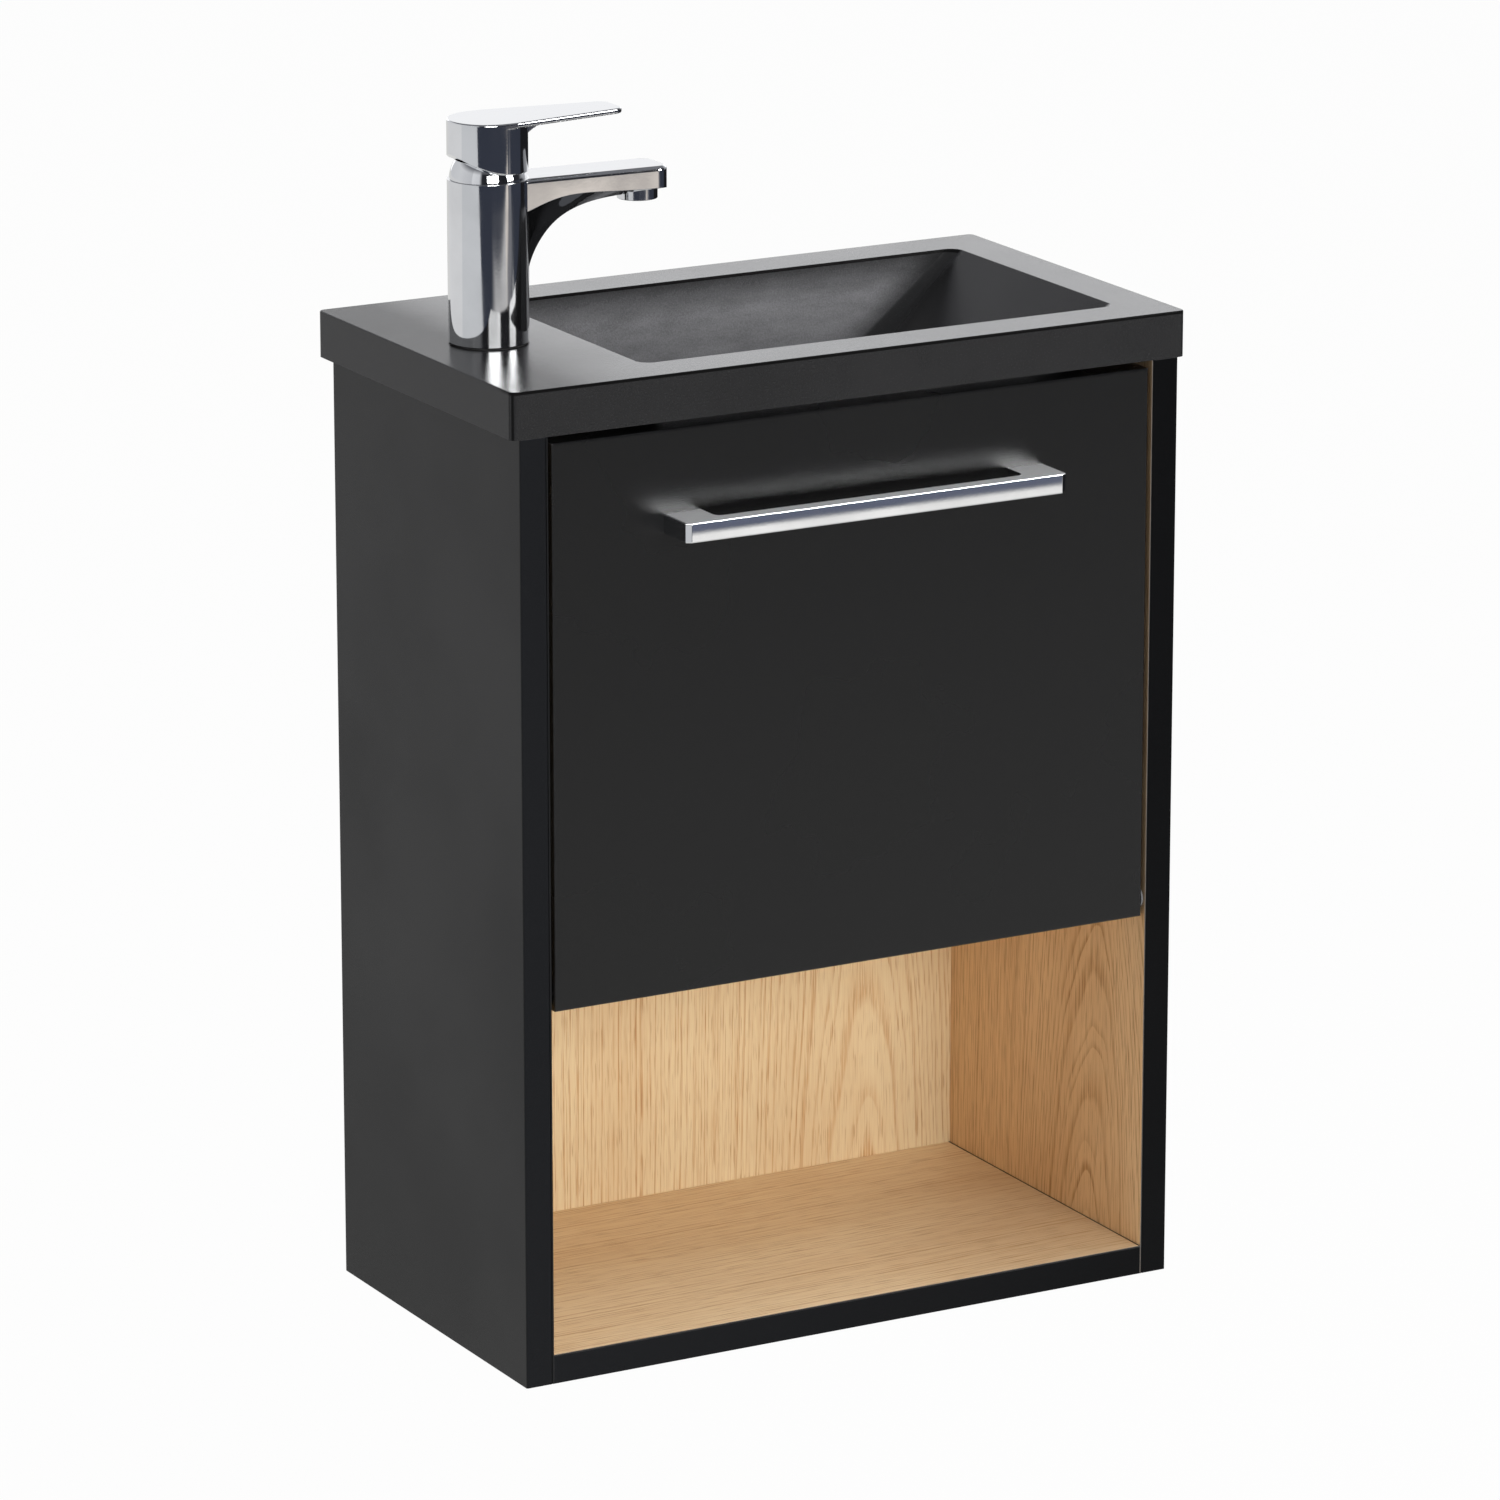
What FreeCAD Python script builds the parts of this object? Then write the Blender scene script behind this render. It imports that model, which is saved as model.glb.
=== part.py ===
import FreeCAD, Part
import math
import os

# Wall-hung vanity unit: basin, single-lever tap, waste, bottle trap, cabinet with drop flap and hanging rail.
# Millimetres. X runs to the right, Y towards the wall, Z up. Heights below are counted from the cabinet's
# underside and moved on export, so that the middle of the wall fixing holes is the origin.

os.makedirs("parts", exist_ok=True)
Vec = FreeCAD.Vector
X_AXIS = (1, 0, 0)
Y_AXIS = (0, 1, 0)
Z_AXIS = (0, 0, 1)

# Basin
BASIN_WIDTH = 450.0
BASIN_DEPTH = 250.0
BASIN_EDGE = 28.0
BASIN_CORNER = 4.0
BASIN_ROUNDING = 0.8
TOTAL_HEIGHT = 600.0
RIM_FROM_LEFT = 101.0
RIM_FROM_RIGHT = 30.0
RIM_FROM_FRONT = 31.0
RIM_FROM_WALL = 32.0
RIM_CORNER = 8.0
FLOOR_INSET_LEFT = 14.0
FLOOR_INSET = 15.0
RAMP_LENGTH = 115.0
FLOOR_CORNER = 24.0
BOWL_DEPTH = 95.0
BOWL_WALL = 9.0
FLOOR_THICKNESS = 10.0
DECK_THICKNESS = 16.0
DECK_POCKET_WIDTH = 55.0
DECK_POCKET_LENGTH = 180.0

# Cabinet
SIDE_OVERHANG = 5.0
REAR_GAP = 10.0
PANEL = 18.0
LINING = 1.0
PANEL_ROUNDING = 1.0
BACK_THICKNESS = 8.0
BACK_INSET = 2.0
BACK_GROOVE = 5.0
RAIL_BELOW_TOP = 72.0
RAIL_HEIGHT = 70.0
FIT = 0.05
DOWEL_RADIUS = 4.0
DOWEL_LENGTH = 28.0
DOWEL_IN_SIDE = 11.0
DOWEL_FROM_CAM = 40.0
RAIL_DOWEL_FROM_CAM = 23.0
CAM_RADIUS = 7.5
CAM_DEPTH = 12.5
CAM_FROM_EDGE = 24.0
CAM_FROM_PANEL_END = 40.0
CAM_SLOT = 3.3
BOLT_RADIUS = 3.0
BOLT_IN_SIDE = 11.0

# Flap with handle
FLAP_SIDE_GAP = 2.5
FLAP_TOP_GAP = 4.5
FLAP_HEIGHT = 339.0
FLAP_BELOW_SHELF = 0.5
FLAP_SWING_CLEARANCE = 1.5
PIVOT_ABOVE_FLAP_BOTTOM = 10.0
PIVOT_RADIUS = 3.0
PIVOT_IN_FLAP = 14.0
PIVOT_IN_BUSH = 10.5
BUSH_RADIUS = 5.0
BUSH_LENGTH = 12.0
BUSH_FLANGE_RADIUS = 7.0
BUSH_FLANGE = 1.0
HANDLE_LENGTH = 254.0
HANDLE_SCREW_FROM_END = 15.0
HANDLE_LEG = 24.0
HANDLE_STAND_OFF = 28.0
HANDLE_BAR_DEPTH = 9.0
HANDLE_BAR_HEIGHT = 12.0
HANDLE_BELOW_FLAP_TOP = 55.5
HANDLE_FACET_LENGTH = 3.2
HANDLE_FACET_DEPTH = 1.8
HANDLE_INNER_CORNER = 5.0
HANDLE_ROUNDING = 0.8
HANDLE_SCREW_RADIUS = 2.0
HANDLE_SCREW_HOLE = 10.0
HANDLE_SCREW_BITE = 8.75
HANDLE_SCREW_HEAD_RADIUS = 4.0
HANDLE_SCREW_HEAD = 2.5
STOP_SIZE = 14.0
STOP_DEPTH = 16.0
STOP_GAP = 0.5
STOP_BELOW_FLAP_TOP = 37.5

# Stay between the left side and the flap, its pivots counted from the flap's pivot
STAY_SIDE_Y = 55.0
STAY_SIDE_Z = 95.0
STAY_FLAP_Y = 22.0
STAY_FLAP_Z = 130.0
STAY_SHEET = 2.5
STAY_CLEARANCE = 0.5
STAY_HALF_WIDTH = 6.0
STAY_PIN_RADIUS = 2.5
STAY_RUNNING = 0.08
STAY_HEAD_RADIUS = 4.5
STAY_HEAD = 1.5
STAY_BRACKET_EDGE = 9.0
STAY_BRACKET_SIZE = 36.0
STAY_SCREW_INSET = 8.0
STAY_FOOT_WIDTH = 16.0

# Hanging
WALL_FIXING_FROM_RAIL_END = 40.0
WALL_FIXING_RADIUS = 3.5
WALL_RAIL_END_GAP = 2.0
WALL_RAIL_SHEET = 2.0
WALL_RAIL_BELOW = 14.0
WALL_RAIL_ABOVE = 15.0
WALL_RAIL_STEP = 8.0
WALL_RAIL_LIP = 10.0
HANGER_BELOW_TOP = 4.0
HANGER_BAND = 6.0
HANGER_SHEET = 2.5
HANGER_LENGTH = 46.0
HANGER_HEIGHT = 53.0
HANGER_CLEARANCE = 0.4
HANGER_TONGUE = 2.1
HANGER_TONGUE_DROP = 9.0
HANGER_SCREW_INSET = 11.0
SCREW_RADIUS = 1.75
SCREW_LENGTH = 12.0
SCREW_HEAD_RADIUS = 3.75
SCREW_HEAD = 2.2
SPACER_RADIUS = 8.0
SPACER_PEG_RADIUS = 2.5
SPACER_PEG = 10.0
SPACER_FROM_SIDE = 22.0

# Foot of the tap, heights counted from the basin's top
TAP_FROM_LEFT = 50.0
TAP_RADIUS = 23.7
TAP_HOLE_RADIUS = 17.5
TAP_SEAL = 1.0
TAP_SEAL_RADIUS = 22.7
TAP_BODY_TOP = 97.3
INLET_RADIUS = 4.5
INLET_Y = 9.0
INLET_X = 5.0
INLET_WASHER_CLEARANCE = 2.0
STUD_X = -10.0
STUD_RADIUS = 4.0
STUD_IN_BODY = 14.0
STUD_LENGTH = 62.0
TAP_WASHER_RADIUS = 20.0
RUBBER_WASHER = 3.0
STEEL_WASHER = 2.5
STUD_NUT = 6.5
STUD_NUT_ACROSS = 13.0

# Head of the tap, heights counted from the top of its body
TAP_CHAMBER_RADIUS = 17.6
TAP_CHAMBER_FLOOR = -33.5
SPOUT_TOP_AT_AXIS = 0.0
SPOUT_TOP_AT_END = -1.3
SPOUT_END = 113.5
SPOUT_HALF_WIDTH = 16.0
SPOUT_TIP_HALF_WIDTH = 15.0
SPOUT_END_CORNER = 9.0
SPOUT_KEEL_HALF_WIDTH = 5.0
SPOUT_ROUNDING = 2.6
SPOUT_SIDE_LINE = ((SPOUT_END, -13.8), (98.0, -13.6), (75.0, -12.4), (52.0, -11.3), (36.0, -12.9),
                   (21.0, -17.5), (0.0, -24.0))
SPOUT_KEEL_LINE = ((SPOUT_END, -16.0), (98.0, -17.2), (75.0, -18.3), (56.0, -21.8), (42.5, -28.2),
                   (31.5, -39.2), (25.0, -51.5), (22.6, -64.5))
WATERWAY_RADIUS = 3.5
WATERWAY_HEIGHT = -11.0
AERATOR_FROM_END = 15.2
AERATOR_RADIUS = 12.0
AERATOR_BOTTOM = -21.3
AERATOR_HEIGHT = 10.5
AERATOR_WALL = 1.6
AERATOR_POCKET = 13.0
AERATOR_INSERT_RECESS = 0.8
AERATOR_INSERT_HEIGHT = 7.0
AERATOR_JETS = 6
AERATOR_JET_RADIUS = 1.4
AERATOR_JET_CIRCLE = 5.2
CARTRIDGE_CLEARANCE = 0.2
CARTRIDGE_RING = 6.0
CARTRIDGE_BORE_RADIUS = 9.0
CARTRIDGE_FLOOR = 4.0
ROTOR_RADIUS = 11.9
ROTOR_TOP = 4.5
ROTOR_SLOT_HALF_LENGTH = 9.5
ROTOR_SLOT_FLOOR = -4.6
LEVER_PIVOT_HEIGHT = -1.3
PIVOT_PIN_RADIUS = 1.25
STEM_HALF = 3.0
STEM_TOP = 29.3
COLLAR_INSET = 1.16
COLLAR_TOP = 11.3
COLLAR_BORE = 13.0
CAP_CLEARANCE = 0.46
CAP_TOP = 35.4
CAP_UNDERSIDE = ((-24.3, 16.2), (-12.0, 9.0), (4.0, 5.4), (24.3, 4.4))
LEVER_THICKNESS = 3.2
LEVER_SHOULDER_X = 8.0
LEVER_END = 83.8
LEVER_TIP_HALF_WIDTH = 12.5
LEVER_TIP_CORNER = 7.0
LEVER_ROOT = ((18.0, 23.2), (24.8, 28.2), (32.0, 31.2), (46.0, 32.4))
LEVER_ROOT_HALF_WIDTH = 10.0
LEVER_ROUNDING = 1.0
GRUB_HEIGHT = 20.0
GRUB_RADIUS = 2.5
GRUB_LENGTH = 10.0
INDEX_RADIUS = 3.2
INDEX_LENGTH = 4.6
INDEX_STAND_OUT = 0.4

# Waste and trap
WASTE_FROM_FLOOR_LEFT = 90.0
WASTE_HOLE_CLEARANCE = 2.0
WASTE_TUBE_RADIUS = 20.5
WASTE_TUBE_WALL = 3.0
WASTE_TUBE_LENGTH = 84.0
WASTE_FLANGE_RADIUS = 31.5
WASTE_FLANGE = 3.0
WASTE_SEAL = 1.0
WASTE_WASHER_RADIUS = 30.0
WASTE_WASHER = 3.0
WASTE_NUT_RADIUS = 29.0
WASTE_NUT = 8.0
GUIDE_HUB_RADIUS = 7.0
GUIDE_HEIGHT = 12.0
GUIDE_ARM = 3.0
GUIDE_DROP = 14.0
PLUG_RADIUS = 30.5
PLUG_THICKNESS = 4.0
PLUG_DOME = 2.0
PLUG_STEM_RADIUS = 4.0
PLUG_STEM_RUNNING = 0.06
PLUG_STEM_LENGTH = 42.0
PLUG_GAP = 0.1
PIPE_RADIUS = 16.0
PIPE_WALL = 2.0
PIPE_INSERT_STEP = 0.4
INLET_PIPE_FLANGE = 3.0
INLET_PIPE_ABOVE_CUP = 27.0
INLET_NUT_WALL = 4.5
INLET_NUT_HEIGHT = 20.0
INLET_NUT_LIP = 4.0
TRAP_RADIUS = 30.0
TRAP_WALL = 3.0
TRAP_BELOW_WASTE = 20.0
TRAP_BODY_HEIGHT = 48.0
TRAP_CUP_HEIGHT = 52.0
TRAP_CUP_ROUNDING = 6.0
TRAP_OUTLET_BELOW_TOP = 23.0
TRAP_SPIGOT_WALL = 3.4
TRAP_SPIGOT_REACH = 44.0
OUTLET_NUT_WALL = 4.0
OUTLET_NUT_LENGTH = 18.0
OUTLET_NUT_OVERLAP = 12.0

# Places that follow from the sizes above
FRONT = -BASIN_DEPTH
REAR = -REAR_GAP
BASIN_LEFT = -BASIN_WIDTH / 2
BASIN_RIGHT = BASIN_WIDTH / 2
CABINET_HEIGHT = TOTAL_HEIGHT - BASIN_EDGE
CABINET_HALF = BASIN_WIDTH / 2 - SIDE_OVERHANG
INNER_HALF = CABINET_HALF - PANEL
CORE_INNER_HALF = INNER_HALF + LINING
RIM_LEFT = BASIN_LEFT + RIM_FROM_LEFT
RIM_RIGHT = BASIN_RIGHT - RIM_FROM_RIGHT
RIM_FRONT = FRONT + RIM_FROM_FRONT
RIM_REAR = -RIM_FROM_WALL
FLOOR_LEFT = RIM_LEFT + FLOOR_INSET_LEFT
FLOOR_RIGHT = RIM_RIGHT - RAMP_LENGTH
FLOOR_FRONT = RIM_FRONT + FLOOR_INSET
FLOOR_REAR = RIM_REAR - FLOOR_INSET
BOWL_FLOOR = TOTAL_HEIGHT - BOWL_DEPTH
BOWL_UNDERSIDE = BOWL_FLOOR - FLOOR_THICKNESS
DECK_UNDERSIDE = TOTAL_HEIGHT - DECK_THICKNESS
BACK_REAR = REAR - BACK_INSET
BACK_FRONT = BACK_REAR - BACK_THICKNESS
FLAP_HALF = INNER_HALF - FLAP_SIDE_GAP
FLAP_REAR = FRONT + PANEL
FLAP_TOP = CABINET_HEIGHT - FLAP_TOP_GAP
FLAP_BOTTOM = FLAP_TOP - FLAP_HEIGHT
PIVOT_Y = FRONT + PANEL / 2
PIVOT_Z = FLAP_BOTTOM + PIVOT_ABOVE_FLAP_BOTTOM
FLAP_SWING = math.hypot(PANEL / 2, PIVOT_ABOVE_FLAP_BOTTOM)
SHELF_BOTTOM = FLAP_BOTTOM + FLAP_BELOW_SHELF
SHELF_TOP = SHELF_BOTTOM + PANEL
SHELF_FRONT = PIVOT_Y + FLAP_SWING + FLAP_SWING_CLEARANCE
RAIL_BOTTOM = CABINET_HEIGHT - RAIL_BELOW_TOP - RAIL_HEIGHT
HANDLE_CENTRE_HEIGHT = FLAP_TOP - HANDLE_BELOW_FLAP_TOP
HANDLE_SCREW_X = HANDLE_LENGTH / 2 - HANDLE_SCREW_FROM_END
HANGER_TOP = CABINET_HEIGHT - HANGER_BELOW_TOP
WALL_RAIL_TOP = HANGER_TOP - HANGER_BAND
WALL_FIXING_HEIGHT = WALL_RAIL_TOP - WALL_RAIL_LIP - WALL_RAIL_SHEET - WALL_RAIL_ABOVE
WALL_RAIL_HALF = INNER_HALF - WALL_RAIL_END_GAP
WALL_FIXING_X = WALL_RAIL_HALF - WALL_FIXING_FROM_RAIL_END
SPACER_X = INNER_HALF - SPACER_FROM_SIDE
TAP_X = BASIN_LEFT + TAP_FROM_LEFT
TAP_Y = FRONT / 2
CARTRIDGE_RADIUS = TAP_CHAMBER_RADIUS - CARTRIDGE_CLEARANCE
COLLAR_SPHERE = TAP_RADIUS - COLLAR_INSET
CAP_SPHERE = COLLAR_SPHERE + CAP_CLEARANCE
LEVER_UNDERSIDE = CAP_TOP - LEVER_THICKNESS
INDEX_SEAT_X = TAP_RADIUS + INDEX_STAND_OUT - INDEX_LENGTH
AERATOR_X = SPOUT_END - AERATOR_FROM_END
WASTE_X = FLOOR_LEFT + WASTE_FROM_FLOOR_LEFT
WASTE_Y = FRONT / 2
WASTE_HOLE_RADIUS = WASTE_TUBE_RADIUS + WASTE_HOLE_CLEARANCE
WASTE_TUBE_BORE = WASTE_TUBE_RADIUS - WASTE_TUBE_WALL
WASTE_FLANGE_BOTTOM = BOWL_FLOOR + WASTE_SEAL
WASTE_FLANGE_TOP = WASTE_FLANGE_BOTTOM + WASTE_FLANGE
WASTE_TUBE_BOTTOM = WASTE_FLANGE_TOP - WASTE_TUBE_LENGTH
PIPE_INSERT_RADIUS = PIPE_RADIUS - PIPE_INSERT_STEP
INLET_NUT_RADIUS = WASTE_TUBE_RADIUS + INLET_NUT_WALL
TRAP_TOP = WASTE_TUBE_BOTTOM - TRAP_BELOW_WASTE
TRAP_OUTLET_HEIGHT = TRAP_TOP - TRAP_OUTLET_BELOW_TOP
TRAP_SPIGOT_RADIUS = PIPE_INSERT_RADIUS + TRAP_SPIGOT_WALL
OUTLET_NUT_RADIUS = TRAP_SPIGOT_RADIUS + OUTLET_NUT_WALL


def box(x0, x1, y0, y1, z0, z1):
    return Part.makeBox(x1 - x0, y1 - y0, z1 - z0, Vec(x0, y0, z0))


def rod(start, direction, radius, length):
    return Part.makeCylinder(radius, length, Vec(*start), Vec(*direction))


def tube(start, direction, outer, inner, length):
    return rod(start, direction, outer, length).cut(rod(start, direction, inner, length))


def prism(points, direction):
    wire = Part.makePolygon([Vec(*point) for point in points] + [Vec(*points[0])])
    return Part.Face(wire).extrude(Vec(*direction))


def hexagon(centre, across, height):
    """Upright hexagonal prism standing on its centre point."""
    reach = across / math.sqrt(3)
    turns = [math.radians(60 * step) for step in range(6)]
    x, y, z = centre
    corners = [(x + reach * math.cos(turn), y + reach * math.sin(turn), z) for turn in turns]
    return prism(corners, (0, 0, height))


def rounded_rectangle(x0, x1, y0, y1, radius, z):
    """Wire of a level rectangle with round corners."""
    slant = radius * (1 - math.sqrt(0.5))
    corners = (
        ((x1 - radius, y0), (x1 - slant, y0 + slant), (x1, y0 + radius)),
        ((x1, y1 - radius), (x1 - slant, y1 - slant), (x1 - radius, y1)),
        ((x0 + radius, y1), (x0 + slant, y1 - slant), (x0, y1 - radius)),
        ((x0, y0 + radius), (x0 + slant, y0 + slant), (x0 + radius, y0)),
    )
    edges = []
    for index, corner in enumerate(corners):
        first, middle, last = [Vec(x, y, z) for x, y in corner]
        following = corners[(index + 1) % len(corners)][0]
        edges.append(Part.Arc(first, middle, last).toShape())
        edges.append(Part.makeLine(last, Vec(following[0], following[1], z)))
    return Part.Wire(edges)


def fillet(shape, radius, keep):
    """Round the edges of a shape for which keep(edge) holds."""
    return shape.makeFillet(radius, [edge for edge in shape.Edges if keep(edge)])


def level_edge(edge, height):
    """True for an edge that lies wholly at the given height."""
    return abs(edge.BoundBox.ZMin - height) < 1e-4 and abs(edge.BoundBox.ZMax - height) < 1e-4


def upright_edge(edge):
    """True for a straight edge along Z."""
    return edge.BoundBox.XLength < 1e-4 and edge.BoundBox.YLength < 1e-4


def mirrored(shape):
    """The same shape on the other side of the middle plane."""
    return shape.mirror(Vec(0, 0, 0), Vec(*X_AXIS))


def write(name, *solids):
    """Export the solids of one node, moved so that the wall fixing is the origin."""
    shape = solids[0] if len(solids) == 1 else Part.makeCompound(list(solids))
    moved = shape.copy()
    moved.translate(Vec(0, 0, -WALL_FIXING_HEIGHT))
    moved.exportStep("parts/" + name + ".step")


def make_basin():
    """Cast slab with a sunken bowl, tap hole, waste hole and a pocket under the tap deck."""
    slab = box(BASIN_LEFT, BASIN_RIGHT, FRONT, 0, CABINET_HEIGHT, TOTAL_HEIGHT)
    slab = fillet(slab, BASIN_CORNER, upright_edge)
    outside = Part.makeLoft([
        rounded_rectangle(RIM_LEFT - BOWL_WALL, RIM_RIGHT + BOWL_WALL, RIM_FRONT - BOWL_WALL,
                          RIM_REAR + BOWL_WALL, RIM_CORNER + BOWL_WALL, TOTAL_HEIGHT - FLOOR_THICKNESS),
        rounded_rectangle(FLOOR_LEFT - BOWL_WALL, FLOOR_RIGHT + BOWL_WALL, FLOOR_FRONT - BOWL_WALL,
                          FLOOR_REAR + BOWL_WALL, FLOOR_CORNER + BOWL_WALL, BOWL_UNDERSIDE)], True, True)
    inside = Part.makeLoft([
        rounded_rectangle(RIM_LEFT, RIM_RIGHT, RIM_FRONT, RIM_REAR, RIM_CORNER, TOTAL_HEIGHT),
        rounded_rectangle(FLOOR_LEFT, FLOOR_RIGHT, FLOOR_FRONT, FLOOR_REAR, FLOOR_CORNER,
                          BOWL_FLOOR)], True, True)
    tap_hole = rod((TAP_X, TAP_Y, CABINET_HEIGHT), Z_AXIS, TAP_HOLE_RADIUS, BASIN_EDGE)
    waste_hole = rod((WASTE_X, WASTE_Y, BOWL_UNDERSIDE), Z_AXIS, WASTE_HOLE_RADIUS, FLOOR_THICKNESS)
    pocket = box(TAP_X - DECK_POCKET_WIDTH / 2, TAP_X + DECK_POCKET_WIDTH / 2, TAP_Y - DECK_POCKET_LENGTH / 2,
                 TAP_Y + DECK_POCKET_LENGTH / 2, CABINET_HEIGHT, DECK_UNDERSIDE)
    basin = slab.fuse(outside).cut(inside).cut(pocket).cut(tap_hole).cut(waste_hole).removeSplitter()

    def top_edge(edge):
        on_top = level_edge(edge, TOTAL_HEIGHT)
        at_tap_hole = abs(edge.BoundBox.XLength - 2 * TAP_HOLE_RADIUS) < 1
        return on_top and not at_tap_hole

    return fillet(basin, BASIN_ROUNDING, top_edge)


def joint_places():
    """Dowels and cam bolts of the level panels: for each, its Y and Z and the side its cam is let in from."""
    bottom_z = (PANEL - LINING) / 2
    shelf_z = SHELF_BOTTOM + PANEL / 2
    rail_y = REAR - PANEL / 2
    rail_z = RAIL_BOTTOM + RAIL_HEIGHT / 2
    front_y = FRONT + CAM_FROM_PANEL_END
    rear_y = REAR - CAM_FROM_PANEL_END
    shelf_y = (SHELF_FRONT + REAR) / 2
    cams = (
        (front_y, bottom_z, "below"),
        (rear_y, bottom_z, "below"),
        (shelf_y, shelf_z, "above"),
        (rail_y, rail_z, "front"),
    )
    dowels = (
        (front_y + DOWEL_FROM_CAM, bottom_z),
        (rear_y - DOWEL_FROM_CAM, bottom_z),
        (shelf_y - DOWEL_FROM_CAM, shelf_z),
        (shelf_y + DOWEL_FROM_CAM, shelf_z),
        (rail_y, rail_z - RAIL_DOWEL_FROM_CAM),
        (rail_y, rail_z + RAIL_DOWEL_FROM_CAM),
    )
    return cams, dowels


def dowel(y, z, clearance=0.0):
    """Wooden dowel across the left joint; with a clearance it is the hole for one."""
    start = -INNER_HALF - DOWEL_IN_SIDE - clearance
    return rod((start, y, z), X_AXIS, DOWEL_RADIUS + clearance, DOWEL_LENGTH + 2 * clearance)


def cam_bolt(y, z, clearance=0.0):
    """Steel bolt from the left side panel to the middle of its cam."""
    start = -INNER_HALF - BOLT_IN_SIDE - clearance
    length = BOLT_IN_SIDE + CAM_FROM_EDGE - CAM_RADIUS + CAM_SLOT
    return rod((start, y, z), X_AXIS, BOLT_RADIUS + clearance, length + clearance)


def cam(y, z, side, clearance=0.0):
    """Round cam lock let into a panel face, without its slot."""
    x = -INNER_HALF + CAM_FROM_EDGE
    radius = CAM_RADIUS + clearance
    depth = CAM_DEPTH + clearance
    starts = {
        "below": ((x, y, 0.0), Z_AXIS),
        "above": ((x, y, SHELF_TOP), (0, 0, -1)),
        "front": ((x, REAR - PANEL, z), Y_AXIS),
    }
    start, direction = starts[side]
    return rod(start, direction, radius, depth)


def cut_both_sides(shape, tools):
    """Cut tools made for the left joint, and their mirror images, out of a shape that spans the cabinet."""
    for tool in tools:
        shape = shape.cut(tool).cut(mirrored(tool))
    return shape


def joint_holes():
    cams, dowels = joint_places()
    holes = [dowel(y, z, FIT) for y, z in dowels]
    holes += [cam_bolt(y, z, FIT) for y, z, side in cams]
    holes += [cam(y, z, side, FIT) for y, z, side in cams]
    return holes


def make_side(screw_places):
    """Left side: black panel and the oak lining on its inner face, both with holes and the back's groove."""
    panel = box(-CABINET_HALF, -CORE_INNER_HALF, FRONT, REAR, 0, CABINET_HEIGHT)
    panel = fillet(panel, PANEL_ROUNDING, upright_outer_front_edge)
    lining = box(-CORE_INNER_HALF, -INNER_HALF, FRONT, REAR, 0, CABINET_HEIGHT)
    holes = joint_holes()
    holes.append(rod((-INNER_HALF - BUSH_LENGTH, PIVOT_Y, PIVOT_Z), X_AXIS, BUSH_RADIUS + FIT,
                     BUSH_LENGTH))
    holes.append(box(-INNER_HALF - BACK_GROOVE - FIT, -INNER_HALF, BACK_FRONT - FIT, BACK_REAR + FIT,
                     PANEL, SHELF_BOTTOM))
    for y, z in screw_places:
        holes.append(rod((-INNER_HALF, y, z), (-1, 0, 0), SCREW_RADIUS + FIT, SCREW_LENGTH))
    for hole in holes:
        panel = panel.cut(hole)
        lining = lining.cut(hole)
    return panel, lining


def upright_outer_front_edge(edge):
    """The two front edges of a side panel that run from bottom to top."""
    return upright_edge(edge) and abs(edge.BoundBox.YMin - FRONT) < 1e-4


def make_bottom():
    """Bottom panel and its oak lining."""
    panel = box(-INNER_HALF, INNER_HALF, FRONT, REAR, 0, PANEL - LINING)
    panel = cut_both_sides(panel, joint_holes())
    peg_hole = rod((SPACER_X, REAR, (PANEL - LINING) / 2), (0, -1, 0), SPACER_PEG_RADIUS + FIT,
                   SPACER_PEG + FIT)
    panel = panel.cut(peg_hole).cut(mirrored(peg_hole))
    lining = box(-INNER_HALF, INNER_HALF, FRONT, REAR, PANEL - LINING, PANEL)
    return panel, lining


def make_back():
    """Oak back of the niche, held in grooves of both sides."""
    half = INNER_HALF + BACK_GROOVE
    return box(-half, half, BACK_FRONT, BACK_REAR, PANEL, SHELF_BOTTOM)


def make_shelf():
    shelf = box(-INNER_HALF, INNER_HALF, SHELF_FRONT, REAR, SHELF_BOTTOM, SHELF_TOP)
    return cut_both_sides(shelf, joint_holes())


def make_rear_rail():
    rail = box(-INNER_HALF, INNER_HALF, REAR - PANEL, REAR, RAIL_BOTTOM, RAIL_BOTTOM + RAIL_HEIGHT)
    return cut_both_sides(rail, joint_holes())


def both_sides(shapes):
    return list(shapes) + [mirrored(shape) for shape in shapes]


def make_joinery():
    """Dowels, cam bolts and cam locks of all six panel ends."""
    cams, dowels = joint_places()
    dowel_set = both_sides([dowel(y, z) for y, z in dowels])
    bolt_set = both_sides([cam_bolt(y, z) for y, z, side in cams])
    locks = []
    for y, z, side in cams:
        slot = rod((-INNER_HALF, y, z), X_AXIS, CAM_SLOT, CAM_FROM_EDGE)
        locks.append(cam(y, z, side).cut(slot))
    return dowel_set, bolt_set, both_sides(locks)


def bracket_screw_places():
    """Y and Z of the screws of the hanger and of the stay bracket."""
    hanger = (
        (REAR - HANGER_LENGTH + HANGER_SCREW_INSET, HANGER_TOP - HANGER_HEIGHT / 2),
        (REAR - 2 * HANGER_SCREW_INSET, HANGER_TOP - HANGER_HEIGHT + HANGER_SCREW_INSET),
    )
    stay_y, stay_z = stay_place(STAY_SIDE_Y, STAY_SIDE_Z)
    far_edge = STAY_BRACKET_SIZE - STAY_BRACKET_EDGE - STAY_SCREW_INSET
    stay = ((stay_y + far_edge, stay_z), (stay_y, stay_z - far_edge))
    return hanger, stay


def panel_screw(y, z, sheet):
    """Pan-head screw through a bracket's sheet into the left side."""
    head_x = -INNER_HALF + sheet
    head = rod((head_x, y, z), X_AXIS, SCREW_HEAD_RADIUS, SCREW_HEAD)
    shank = rod((head_x - SCREW_LENGTH, y, z), X_AXIS, SCREW_RADIUS, SCREW_LENGTH)
    return head.fuse(shank)


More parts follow.
